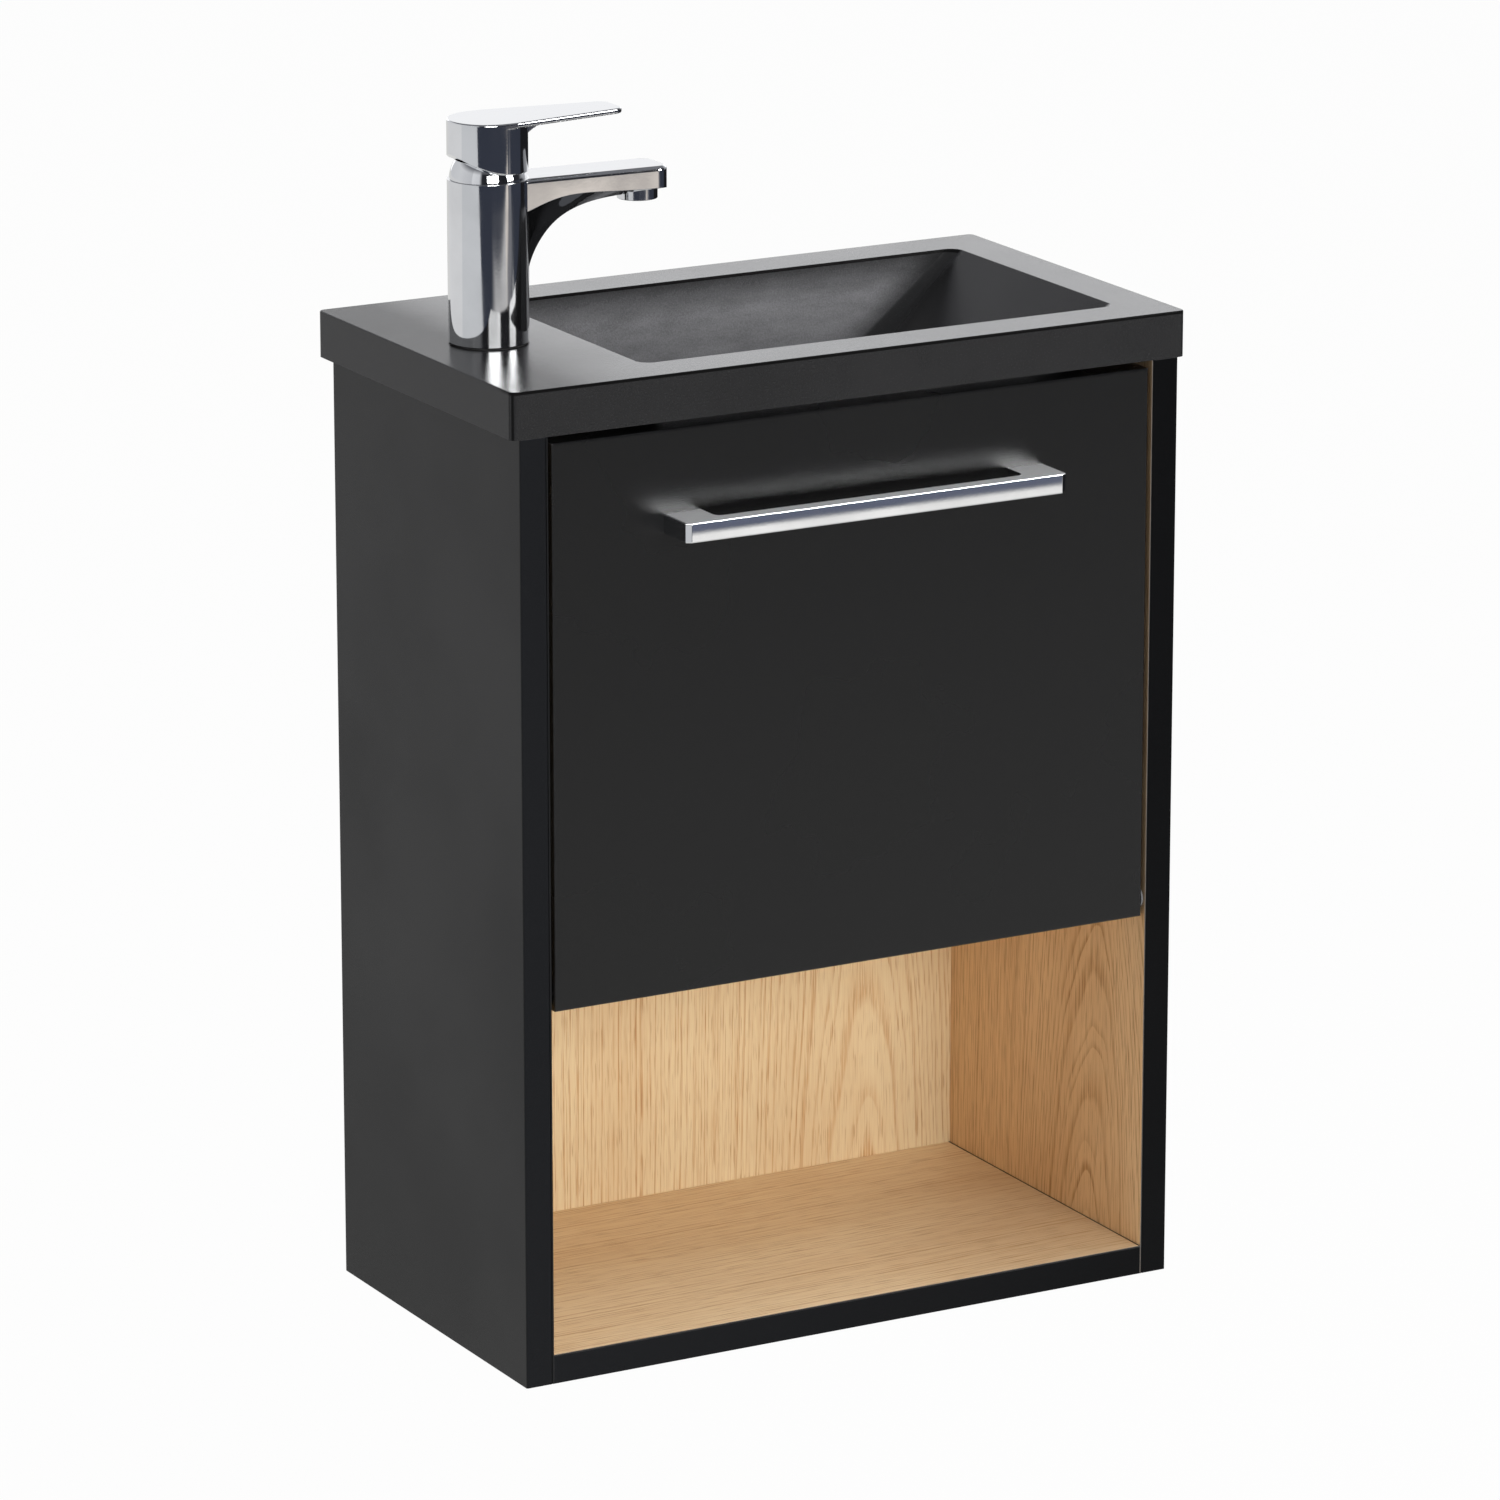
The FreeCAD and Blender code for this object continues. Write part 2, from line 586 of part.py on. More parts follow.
def make_bracket_screws():
    hanger, stay = bracket_screw_places()
    hanger_screws = both_sides([panel_screw(y, z, HANGER_SHEET) for y, z in hanger])
    return hanger_screws + [panel_screw(y, z, STAY_SHEET) for y, z in stay]


def make_wall_rail():
    """Bent steel rail on the wall with an upstanding lip that the hangers hook over."""
    bottom = WALL_FIXING_HEIGHT - WALL_RAIL_BELOW
    step = WALL_FIXING_HEIGHT + WALL_RAIL_ABOVE
    x = -WALL_RAIL_HALF
    outline = (
        (x, 0, bottom),
        (x, 0, step + WALL_RAIL_SHEET),
        (x, -WALL_RAIL_STEP + WALL_RAIL_SHEET, step + WALL_RAIL_SHEET),
        (x, -WALL_RAIL_STEP + WALL_RAIL_SHEET, WALL_RAIL_TOP),
        (x, -WALL_RAIL_STEP, WALL_RAIL_TOP),
        (x, -WALL_RAIL_STEP, step),
        (x, -WALL_RAIL_SHEET, step),
        (x, -WALL_RAIL_SHEET, bottom),
    )
    rail = prism(outline, (2 * WALL_RAIL_HALF, 0, 0))
    hole = rod((WALL_FIXING_X, -WALL_RAIL_STEP, WALL_FIXING_HEIGHT), Y_AXIS, WALL_FIXING_RADIUS,
               WALL_RAIL_STEP)
    return rail.cut(hole).cut(mirrored(hole))


def make_hanger():
    """Left hanger: a plate on the side's inner face whose hook sits on the rail's lip."""
    lip_front = -WALL_RAIL_STEP - HANGER_CLEARANCE
    lip_rear = -WALL_RAIL_STEP + WALL_RAIL_SHEET + HANGER_CLEARANCE
    tongue_rear = lip_rear + HANGER_TONGUE
    bottom = HANGER_TOP - HANGER_HEIGHT
    x = -INNER_HALF
    front = REAR - HANGER_LENGTH
    shoulder = REAR - HANGER_SHEET
    outline = (
        (x, front, bottom),
        (x, shoulder, bottom),
        (x, shoulder, WALL_RAIL_TOP - WALL_RAIL_LIP),
        (x, lip_front, WALL_RAIL_TOP - WALL_RAIL_LIP),
        (x, lip_front, WALL_RAIL_TOP),
        (x, lip_rear, WALL_RAIL_TOP),
        (x, lip_rear, WALL_RAIL_TOP - HANGER_TONGUE_DROP),
        (x, tongue_rear, WALL_RAIL_TOP - HANGER_TONGUE_DROP),
        (x, tongue_rear, HANGER_TOP),
        (x, front, HANGER_TOP),
    )
    plate = prism(outline, (HANGER_SHEET, 0, 0))
    for y, z in bracket_screw_places()[0]:
        plate = plate.cut(rod((x, y, z), X_AXIS, SCREW_RADIUS + FIT, HANGER_SHEET))
    return plate


def make_spacers():
    """Push-in buffers that keep the cabinet's foot parallel to the wall."""
    z = (PANEL - LINING) / 2
    buffer = rod((-SPACER_X, REAR, z), Y_AXIS, SPACER_RADIUS, REAR_GAP)
    peg = rod((-SPACER_X, REAR - SPACER_PEG, z), Y_AXIS, SPACER_PEG_RADIUS, SPACER_PEG)
    return both_sides([buffer.fuse(peg)])


def make_flap_stops():
    """Blocks on both sides that the closed flap leans against."""
    front = FLAP_REAR + STOP_GAP
    bottom = FLAP_TOP - STOP_BELOW_FLAP_TOP
    block = box(-INNER_HALF, -INNER_HALF + STOP_SIZE, front, front + STOP_DEPTH, bottom, bottom + STOP_SIZE)
    return both_sides([block])


def stay_place(y, z):
    """Y and Z of a stay pivot given from the flap's pivot."""
    return PIVOT_Y + y, PIVOT_Z + z


def capsule(start, end, half_width, x, thickness):
    """Flat bar with round ends in the YZ plane between two pivots."""
    along = Vec(0, end[0] - start[0], end[1] - start[1])
    across = Vec(0, -along.z, along.y).normalize() * half_width
    first = Vec(x, start[0], start[1])
    corners = (first + across, first + along + across, first + along - across, first - across)
    bar = prism([tuple(corner) for corner in corners], (thickness, 0, 0))
    for y, z in (start, end):
        bar = bar.fuse(rod((x, y, z), X_AXIS, half_width, thickness))
    return bar.removeSplitter()


def stay_layers():
    """X of the stay's sheets: side bracket, side arm, flap arm and flap lug, each beside the one before."""
    pitch = STAY_SHEET + STAY_CLEARANCE
    return [-INNER_HALF + layer * pitch for layer in range(4)]


def stay_stud(x, place, direction, length):
    """Round stud with a flat head at its far end."""
    y, z = place
    stud = rod((x, y, z), direction, STAY_PIN_RADIUS, length)
    head = rod((x + direction[0] * length, y, z), direction, STAY_HEAD_RADIUS, STAY_HEAD)
    return stud.fuse(head)


def stay_hole(x, place):
    y, z = place
    return rod((x, y, z), X_AXIS, STAY_PIN_RADIUS + STAY_RUNNING, STAY_SHEET)


def make_stay():
    """Brake stay of the flap: bracket and arm on the side, arm and bracket on the flap."""
    side_pivot = stay_place(STAY_SIDE_Y, STAY_SIDE_Z)
    flap_pivot = stay_place(STAY_FLAP_Y, STAY_FLAP_Z)
    knee = stay_place(STAY_SIDE_Y + STAY_FLAP_Y, STAY_SIDE_Z + STAY_FLAP_Z)
    bracket_x, side_arm_x, flap_arm_x, lug_x = stay_layers()
    reach = STAY_SHEET + 2 * STAY_CLEARANCE

    y, z = side_pivot
    front = y - STAY_BRACKET_EDGE
    top = z + STAY_BRACKET_EDGE
    bracket = box(bracket_x, bracket_x + STAY_SHEET, front, front + STAY_BRACKET_SIZE,
                  top - STAY_BRACKET_SIZE, top)
    bracket = bracket.fuse(stay_stud(bracket_x + STAY_SHEET, side_pivot, X_AXIS, reach))
    for screw_y, screw_z in bracket_screw_places()[1]:
        bracket = bracket.cut(rod((bracket_x, screw_y, screw_z), X_AXIS, SCREW_RADIUS + FIT, STAY_SHEET))

    side_arm = capsule(side_pivot, knee, STAY_HALF_WIDTH, side_arm_x, STAY_SHEET)
    side_arm = side_arm.cut(stay_hole(side_arm_x, side_pivot))
    side_arm = side_arm.fuse(stay_stud(side_arm_x + STAY_SHEET, knee, X_AXIS, reach))

    flap_arm = capsule(knee, flap_pivot, STAY_HALF_WIDTH, flap_arm_x, STAY_SHEET)
    flap_arm = flap_arm.cut(stay_hole(flap_arm_x, knee)).cut(stay_hole(flap_arm_x, flap_pivot))

    y, z = flap_pivot
    lug = capsule((FLAP_REAR + STAY_HALF_WIDTH, z), flap_pivot, STAY_HALF_WIDTH, lug_x, STAY_SHEET)
    lug = lug.fuse(box(lug_x, lug_x + STAY_SHEET, FLAP_REAR, y, z - STAY_HALF_WIDTH, z + STAY_HALF_WIDTH))
    foot_x = lug_x + STAY_SHEET
    foot = box(lug_x, foot_x + STAY_FOOT_WIDTH, FLAP_REAR, FLAP_REAR + STAY_SHEET, z - STAY_FOOT_WIDTH,
               z + STAY_FOOT_WIDTH)
    flap_bracket = lug.fuse(foot).fuse(stay_stud(lug_x, flap_pivot, (-1, 0, 0), reach)).removeSplitter()
    for screw_x, screw_z in flap_bracket_screw_places():
        screw_hole = rod((screw_x, FLAP_REAR, screw_z), Y_AXIS, SCREW_RADIUS + FIT, STAY_SHEET)
        flap_bracket = flap_bracket.cut(screw_hole)
    return bracket, side_arm, flap_arm, flap_bracket


def flap_bracket_screw_places():
    x = stay_layers()[3] + STAY_SHEET + STAY_FOOT_WIDTH / 2
    z = PIVOT_Z + STAY_FLAP_Z
    return (x, z - STAY_FOOT_WIDTH / 2), (x, z + STAY_FOOT_WIDTH / 2)


def make_flap_bracket_screws():
    screws = []
    for x, z in flap_bracket_screw_places():
        seat = FLAP_REAR + STAY_SHEET
        head = rod((x, seat, z), Y_AXIS, SCREW_HEAD_RADIUS, SCREW_HEAD)
        screws.append(head.fuse(rod((x, seat - SCREW_LENGTH, z), Y_AXIS, SCREW_RADIUS, SCREW_LENGTH)))
    return screws


def make_flap():
    """Black front panel with rounded front edges and the holes for its fittings."""
    flap = box(-FLAP_HALF, FLAP_HALF, FRONT, FLAP_REAR, FLAP_BOTTOM, FLAP_TOP)
    flap = fillet(flap, PANEL_ROUNDING, lambda edge: abs(edge.BoundBox.YMax - FRONT) < 1e-4)
    pivot_hole = rod((-FLAP_HALF, PIVOT_Y, PIVOT_Z), X_AXIS, PIVOT_RADIUS + FIT, PIVOT_IN_FLAP + FIT)
    handle_hole = rod((-HANDLE_SCREW_X, FRONT, HANDLE_CENTRE_HEIGHT), Y_AXIS, HANDLE_SCREW_RADIUS + FIT,
                      PANEL)
    flap = cut_both_sides(flap, [pivot_hole, handle_hole])
    depth = SCREW_LENGTH - STAY_SHEET + FIT
    for x, z in flap_bracket_screw_places():
        flap = flap.cut(rod((x, FLAP_REAR, z), (0, -1, 0), SCREW_RADIUS + FIT, depth))
    return flap


def make_handle():
    """Flat bar handle with two legs, slanting end facets and softened edges."""
    half = HANDLE_LENGTH / 2
    front = FRONT - HANDLE_STAND_OFF
    bottom = HANDLE_CENTRE_HEIGHT - HANDLE_BAR_HEIGHT / 2
    top = HANDLE_CENTRE_HEIGHT + HANDLE_BAR_HEIGHT / 2
    bar = prism([
        (-half, FRONT, bottom),
        (-half, front + HANDLE_FACET_DEPTH, bottom),
        (-half + HANDLE_FACET_LENGTH, front, bottom),
        (half - HANDLE_FACET_LENGTH, front, bottom),
        (half, front + HANDLE_FACET_DEPTH, bottom),
        (half, FRONT, bottom)], (0, 0, HANDLE_BAR_HEIGHT))
    grip = box(-half + HANDLE_LEG, half - HANDLE_LEG, front + HANDLE_BAR_DEPTH, FRONT, bottom, top)

    def inner_corner(edge):
        return upright_edge(edge) and edge.BoundBox.YMin < FRONT - 1e-3

    def long_edge(edge):
        return edge.BoundBox.ZLength < 1e-4 and edge.BoundBox.YMin < FRONT - 1e-3

    grip = fillet(grip, HANDLE_INNER_CORNER, inner_corner)
    bar = fillet(bar, HANDLE_ROUNDING, long_edge)
    hole = rod((-HANDLE_SCREW_X, FRONT - HANDLE_SCREW_HOLE, HANDLE_CENTRE_HEIGHT), Y_AXIS,
               HANDLE_SCREW_RADIUS + FIT, HANDLE_SCREW_HOLE)
    return cut_both_sides(bar.cut(grip), [hole])


def make_handle_screws():
    x = -HANDLE_SCREW_X
    z = HANDLE_CENTRE_HEIGHT
    head = rod((x, FLAP_REAR, z), Y_AXIS, HANDLE_SCREW_HEAD_RADIUS, HANDLE_SCREW_HEAD)
    length = PANEL + HANDLE_SCREW_BITE
    return both_sides([head.fuse(rod((x, FLAP_REAR, z), (0, -1, 0), HANDLE_SCREW_RADIUS, length))])


def make_pivots():
    """Pins in the flap's ends and the flanged bushes in the sides that they turn in."""
    pin_start = -INNER_HALF - PIVOT_IN_BUSH
    pin_length = PIVOT_IN_BUSH + FLAP_SIDE_GAP + PIVOT_IN_FLAP
    pin = rod((pin_start, PIVOT_Y, PIVOT_Z), X_AXIS, PIVOT_RADIUS, pin_length)
    bush = rod((-INNER_HALF - BUSH_LENGTH, PIVOT_Y, PIVOT_Z), X_AXIS, BUSH_RADIUS, BUSH_LENGTH)
    bush = bush.fuse(rod((-INNER_HALF, PIVOT_Y, PIVOT_Z), X_AXIS, BUSH_FLANGE_RADIUS, BUSH_FLANGE))
    bush = bush.cut(rod((pin_start - FIT, PIVOT_Y, PIVOT_Z), X_AXIS, PIVOT_RADIUS + FIT,
                        PIVOT_IN_BUSH + BUSH_FLANGE + 2 * FIT))
    return both_sides([pin]), both_sides([bush])


def tap_at(x, y, height):
    """Point given from the tap's axis and the basin's top."""
    return TAP_X + x, TAP_Y + y, TOTAL_HEIGHT + height


def tap_rod(x, y, height, direction, radius, length):
    return rod(tap_at(x, y, height), direction, radius, length)


def head_at(x, y, height):
    """Point given from the tap's axis and the top of its body."""
    return tap_at(x, y, TAP_BODY_TOP + height)


def head_rod(x, y, height, direction, radius, length):
    return rod(head_at(x, y, height), direction, radius, length)


def tap_sphere(radius):
    """Ball about the lever's pivot."""
    return Part.makeSphere(radius, Vec(*head_at(0, 0, LEVER_PIVOT_HEIGHT)))


def curve(points):
    """Smooth edge through points."""
    spline = Part.BSplineCurve()
    spline.interpolate([Vec(*point) for point in points])
    return spline.toShape()


def spout_section(lower_line, y):
    """Upright outline of the spout at a distance from its middle plane, closed inside the body."""
    start = head_at(0, y, SPOUT_TOP_AT_AXIS)
    end = head_at(SPOUT_END, y, SPOUT_TOP_AT_END)
    lower = [head_at(x, y, height) for x, height in lower_line]
    return Part.Wire([
        Part.makeLine(Vec(*start), Vec(*end)),
        Part.makeLine(Vec(*end), Vec(*lower[0])),
        curve(lower),
        Part.makeLine(Vec(*lower[-1]), Vec(*start)),
    ])


def make_spout():
    """Flat-topped spout with upright sides, a sloping underside and a narrow keel arching into the body."""
    keel = Part.Face(spout_section(SPOUT_KEEL_LINE, -SPOUT_KEEL_HALF_WIDTH))
    spout = keel.extrude(Vec(0, 2 * SPOUT_KEEL_HALF_WIDTH, 0))
    for side in (-1, 1):
        spout = spout.fuse(Part.makeLoft([
            spout_section(SPOUT_KEEL_LINE, side * SPOUT_KEEL_HALF_WIDTH),
            spout_section(SPOUT_SIDE_LINE, side * SPOUT_HALF_WIDTH)], True, True))
    plan = prism([
        tap_at(0, -SPOUT_HALF_WIDTH, 0),
        tap_at(SPOUT_END, -SPOUT_TIP_HALF_WIDTH, 0),
        tap_at(SPOUT_END, SPOUT_TIP_HALF_WIDTH, 0),
        tap_at(0, SPOUT_HALF_WIDTH, 0)], (0, 0, TAP_BODY_TOP + CAP_TOP))
    plan = fillet(plan, SPOUT_END_CORNER, lambda edge: upright_edge(edge) and edge.BoundBox.XMin > TAP_X + 1)
    spout = spout.common(plan).removeSplitter()
    slope = (SPOUT_TOP_AT_END - SPOUT_TOP_AT_AXIS) / SPOUT_END

    def rim(edge):
        ends = [vertex.Point for vertex in edge.Vertexes]
        top = [head_at(0, 0, SPOUT_TOP_AT_AXIS + slope * (end.x - TAP_X))[2] for end in ends]
        on_top = all(abs(end.z - height) < 1e-3 for end, height in zip(ends, top))
        return on_top and edge.BoundBox.XMax > TAP_X + 1

    return fillet(spout, SPOUT_ROUNDING, rim)


def make_tap_body():
    """Cast body with spout, cartridge chamber, inlets, waterway and aerator pocket."""
    body = tap_rod(0, 0, TAP_SEAL, Z_AXIS, TAP_RADIUS, TAP_BODY_TOP - TAP_SEAL).fuse(make_spout())
    body = body.cut(head_rod(0, 0, TAP_CHAMBER_FLOOR, Z_AXIS, TAP_CHAMBER_RADIUS, -TAP_CHAMBER_FLOOR))
    inlet_length = TAP_BODY_TOP + TAP_CHAMBER_FLOOR - TAP_SEAL
    for side in (-1, 1):
        body = body.cut(tap_rod(INLET_X, side * INLET_Y, TAP_SEAL, Z_AXIS, INLET_RADIUS, inlet_length))
    body = body.cut(tap_rod(STUD_X, 0, TAP_SEAL, Z_AXIS, STUD_RADIUS + FIT, STUD_IN_BODY + FIT))
    body = body.cut(head_rod(0, 0, WATERWAY_HEIGHT, X_AXIS, WATERWAY_RADIUS, AERATOR_X))
    body = body.cut(head_rod(AERATOR_X, 0, AERATOR_BOTTOM, Z_AXIS, AERATOR_RADIUS + FIT, AERATOR_POCKET))
    return body.removeSplitter()


def make_tap_seal():
    """Flat gasket between the tap and the basin, open for the stud and both hoses."""
    return tube(tap_at(0, 0, 0), Z_AXIS, TAP_SEAL_RADIUS, TAP_HOLE_RADIUS, TAP_SEAL)


def make_cartridge():
    """Cartridge housing, its threaded ring, the turning rotor and the cross pin of the lever."""
    height = -CARTRIDGE_RING - TAP_CHAMBER_FLOOR
    housing = head_rod(0, 0, TAP_CHAMBER_FLOOR, Z_AXIS, CARTRIDGE_RADIUS, height)
    housing = housing.cut(head_rod(0, 0, TAP_CHAMBER_FLOOR + CARTRIDGE_FLOOR, Z_AXIS, CARTRIDGE_BORE_RADIUS,
                                   height - CARTRIDGE_FLOOR))
    housing = housing.cut(head_rod(0, 0, WATERWAY_HEIGHT, X_AXIS, WATERWAY_RADIUS, CARTRIDGE_RADIUS))
    for side in (-1, 1):
        housing = housing.cut(head_rod(INLET_X, side * INLET_Y / 2, TAP_CHAMBER_FLOOR, Z_AXIS,
                                       INLET_RADIUS / 2, CARTRIDGE_FLOOR))
    ring = tube(head_at(0, 0, -CARTRIDGE_RING), Z_AXIS, CARTRIDGE_RADIUS, ROTOR_RADIUS + FIT, CARTRIDGE_RING)
    rotor = head_rod(0, 0, -CARTRIDGE_RING, Z_AXIS, ROTOR_RADIUS, ROTOR_TOP + CARTRIDGE_RING)
    x0, y0, z0 = head_at(-ROTOR_SLOT_HALF_LENGTH, -STEM_HALF - 2 * FIT, ROTOR_SLOT_FLOOR)
    x1, y1, z1 = head_at(ROTOR_SLOT_HALF_LENGTH, STEM_HALF + 2 * FIT, ROTOR_TOP)
    rotor = rotor.cut(box(x0, x1, y0, y1, z0, z1))
    pin_half = ROTOR_RADIUS - 2 * PIVOT_PIN_RADIUS
    pin = head_rod(0, -pin_half, LEVER_PIVOT_HEIGHT, Y_AXIS, PIVOT_PIN_RADIUS, 2 * pin_half)
    rotor = rotor.cut(head_rod(0, -ROTOR_RADIUS, LEVER_PIVOT_HEIGHT, Y_AXIS, PIVOT_PIN_RADIUS + FIT,
                               2 * ROTOR_RADIUS))
    return housing, ring, rotor, pin


def make_collar():
    """Ball-shaped collar on the body that the lever's cap slides over."""
    ring = tube(head_at(0, 0, 0), Z_AXIS, TAP_RADIUS, COLLAR_BORE, COLLAR_TOP)
    return ring.common(tap_sphere(COLLAR_SPHERE))


def stem_box(clearance):
    x0, y0, z0 = head_at(-STEM_HALF - clearance, -STEM_HALF - clearance, LEVER_PIVOT_HEIGHT)
    x1, y1, z1 = head_at(STEM_HALF + clearance, STEM_HALF + clearance, STEM_TOP + clearance)
    return box(x0, x1, y0, y1, z0, z1)


def make_stem():
    """Square stem with a round foot about the cross pin."""
    foot = head_rod(0, -STEM_HALF, LEVER_PIVOT_HEIGHT, Y_AXIS, STEM_HALF, 2 * STEM_HALF)
    pin_hole = head_rod(0, -STEM_HALF, LEVER_PIVOT_HEIGHT, Y_AXIS, PIVOT_PIN_RADIUS + FIT, 2 * STEM_HALF)
    return stem_box(0).fuse(foot).cut(pin_hole).removeSplitter()


def make_lever():
    """Round cap that runs out into a flat lever, with a ball-shaped hollow below and a socket for the stem."""
    lowest = CAP_UNDERSIDE[-1][1]
    cap = head_rod(0, 0, lowest, Z_AXIS, TAP_RADIUS, CAP_TOP - lowest)
    blade = prism([
        head_at(0, -TAP_RADIUS, LEVER_UNDERSIDE),
        head_at(LEVER_SHOULDER_X, -TAP_RADIUS, LEVER_UNDERSIDE),
        head_at(LEVER_END, -LEVER_TIP_HALF_WIDTH, LEVER_UNDERSIDE),
        head_at(LEVER_END, LEVER_TIP_HALF_WIDTH, LEVER_UNDERSIDE),
        head_at(LEVER_SHOULDER_X, TAP_RADIUS, LEVER_UNDERSIDE),
        head_at(0, TAP_RADIUS, LEVER_UNDERSIDE)], (0, 0, CAP_TOP - LEVER_UNDERSIDE))
    blade = fillet(blade, LEVER_TIP_CORNER,
                   lambda edge: upright_edge(edge) and edge.BoundBox.XMin > TAP_X + TAP_RADIUS)

    def blade_edge(edge):
        at_underside = level_edge(edge, TOTAL_HEIGHT + TAP_BODY_TOP + LEVER_UNDERSIDE)
        return at_underside and edge.BoundBox.XMax > TAP_X + LEVER_END - LEVER_TIP_CORNER - LEVER_ROUNDING

    blade = fillet(blade, LEVER_ROUNDING, blade_edge)
    root_line = [head_at(x, -LEVER_ROOT_HALF_WIDTH, height) for x, height in LEVER_ROOT]
    inner = head_at(LEVER_ROOT[0][0], -LEVER_ROOT_HALF_WIDTH, LEVER_ROOT[-1][1])
    root = Part.Face(Part.Wire([
        curve(root_line),
        Part.makeLine(Vec(*root_line[-1]), Vec(*inner)),
        Part.makeLine(Vec(*inner), Vec(*root_line[0])),
    ])).extrude(Vec(0, 2 * LEVER_ROOT_HALF_WIDTH, 0))
    lever = cap.fuse(blade).fuse(root).removeSplitter()
    lever = fillet(lever, LEVER_ROUNDING, lambda edge: level_edge(edge, TOTAL_HEIGHT + TAP_BODY_TOP + CAP_TOP))

    side = TAP_RADIUS + LEVER_ROUNDING
    underside = [head_at(x, -side, height) for x, height in CAP_UNDERSIDE]
    first = head_at(CAP_UNDERSIDE[0][0], -side, lowest - LEVER_ROUNDING)
    last = head_at(CAP_UNDERSIDE[-1][0], -side, lowest - LEVER_ROUNDING)
    below = Part.Face(Part.Wire([
        curve(underside),
        Part.makeLine(Vec(*underside[-1]), Vec(*last)),
        Part.makeLine(Vec(*last), Vec(*first)),
        Part.makeLine(Vec(*first), Vec(*underside[0])),
    ])).extrude(Vec(0, 2 * side, 0))
    lever = lever.cut(below).cut(tap_sphere(CAP_SPHERE)).cut(stem_box(FIT))
    lever = lever.cut(head_rod(STEM_HALF, 0, GRUB_HEIGHT, X_AXIS, GRUB_RADIUS + FIT, TAP_RADIUS))
    return lever.cut(head_rod(INDEX_SEAT_X, 0, GRUB_HEIGHT, X_AXIS, INDEX_RADIUS + FIT, TAP_RADIUS))


def make_lever_small_parts():
    """Grub screw against the stem and the index plug over it."""
    grub = head_rod(STEM_HALF, 0, GRUB_HEIGHT, X_AXIS, GRUB_RADIUS, GRUB_LENGTH)
    index = head_rod(INDEX_SEAT_X, 0, GRUB_HEIGHT, X_AXIS, INDEX_RADIUS, INDEX_LENGTH)
    return grub, index


def make_aerator():
    """Screw-in ring under the spout and the jet insert inside it."""
    bore = AERATOR_RADIUS - AERATOR_WALL
    ring = tube(head_at(AERATOR_X, 0, AERATOR_BOTTOM), Z_AXIS, AERATOR_RADIUS, bore, AERATOR_HEIGHT)
    bottom = AERATOR_BOTTOM + AERATOR_INSERT_RECESS
    insert = head_rod(AERATOR_X, 0, bottom, Z_AXIS, bore - FIT, AERATOR_INSERT_HEIGHT)
    for step in range(AERATOR_JETS):
        turn = 2 * math.pi * step / AERATOR_JETS
        x = AERATOR_X + AERATOR_JET_CIRCLE * math.cos(turn)
        y = AERATOR_JET_CIRCLE * math.sin(turn)
        insert = insert.cut(head_rod(x, y, bottom, Z_AXIS, AERATOR_JET_RADIUS, AERATOR_INSERT_HEIGHT))
    return ring, insert


def make_tap_fixing():
    """Stud, rubber washer, steel washer and nut that clamp the tap to the deck from below."""
    stud_top = TAP_SEAL + STUD_IN_BODY
    stud = tap_rod(STUD_X, 0, stud_top - STUD_LENGTH, Z_AXIS, STUD_RADIUS, STUD_LENGTH)
    level = -DECK_THICKNESS
    pieces = [stud]
    for thickness in (RUBBER_WASHER, STEEL_WASHER):
        level -= thickness
        washer = tap_rod(0, 0, level, Z_AXIS, TAP_WASHER_RADIUS, thickness)
        washer = washer.cut(tap_rod(STUD_X, 0, level, Z_AXIS, STUD_RADIUS + FIT, thickness))
        for side in (-1, 1):
            washer = washer.cut(tap_rod(INLET_X, side * INLET_Y, level, Z_AXIS,
                                        INLET_RADIUS + INLET_WASHER_CLEARANCE, thickness))
        pieces.append(washer)
    level -= STUD_NUT
    nut = hexagon(tap_at(STUD_X, 0, level), STUD_NUT_ACROSS, STUD_NUT)
    pieces.append(nut.cut(tap_rod(STUD_X, 0, level, Z_AXIS, STUD_RADIUS + FIT, STUD_NUT)))
    return pieces


def waste_tube(bottom, outer, inner, height):
    return tube((WASTE_X, WASTE_Y, bottom), Z_AXIS, outer, inner, height)


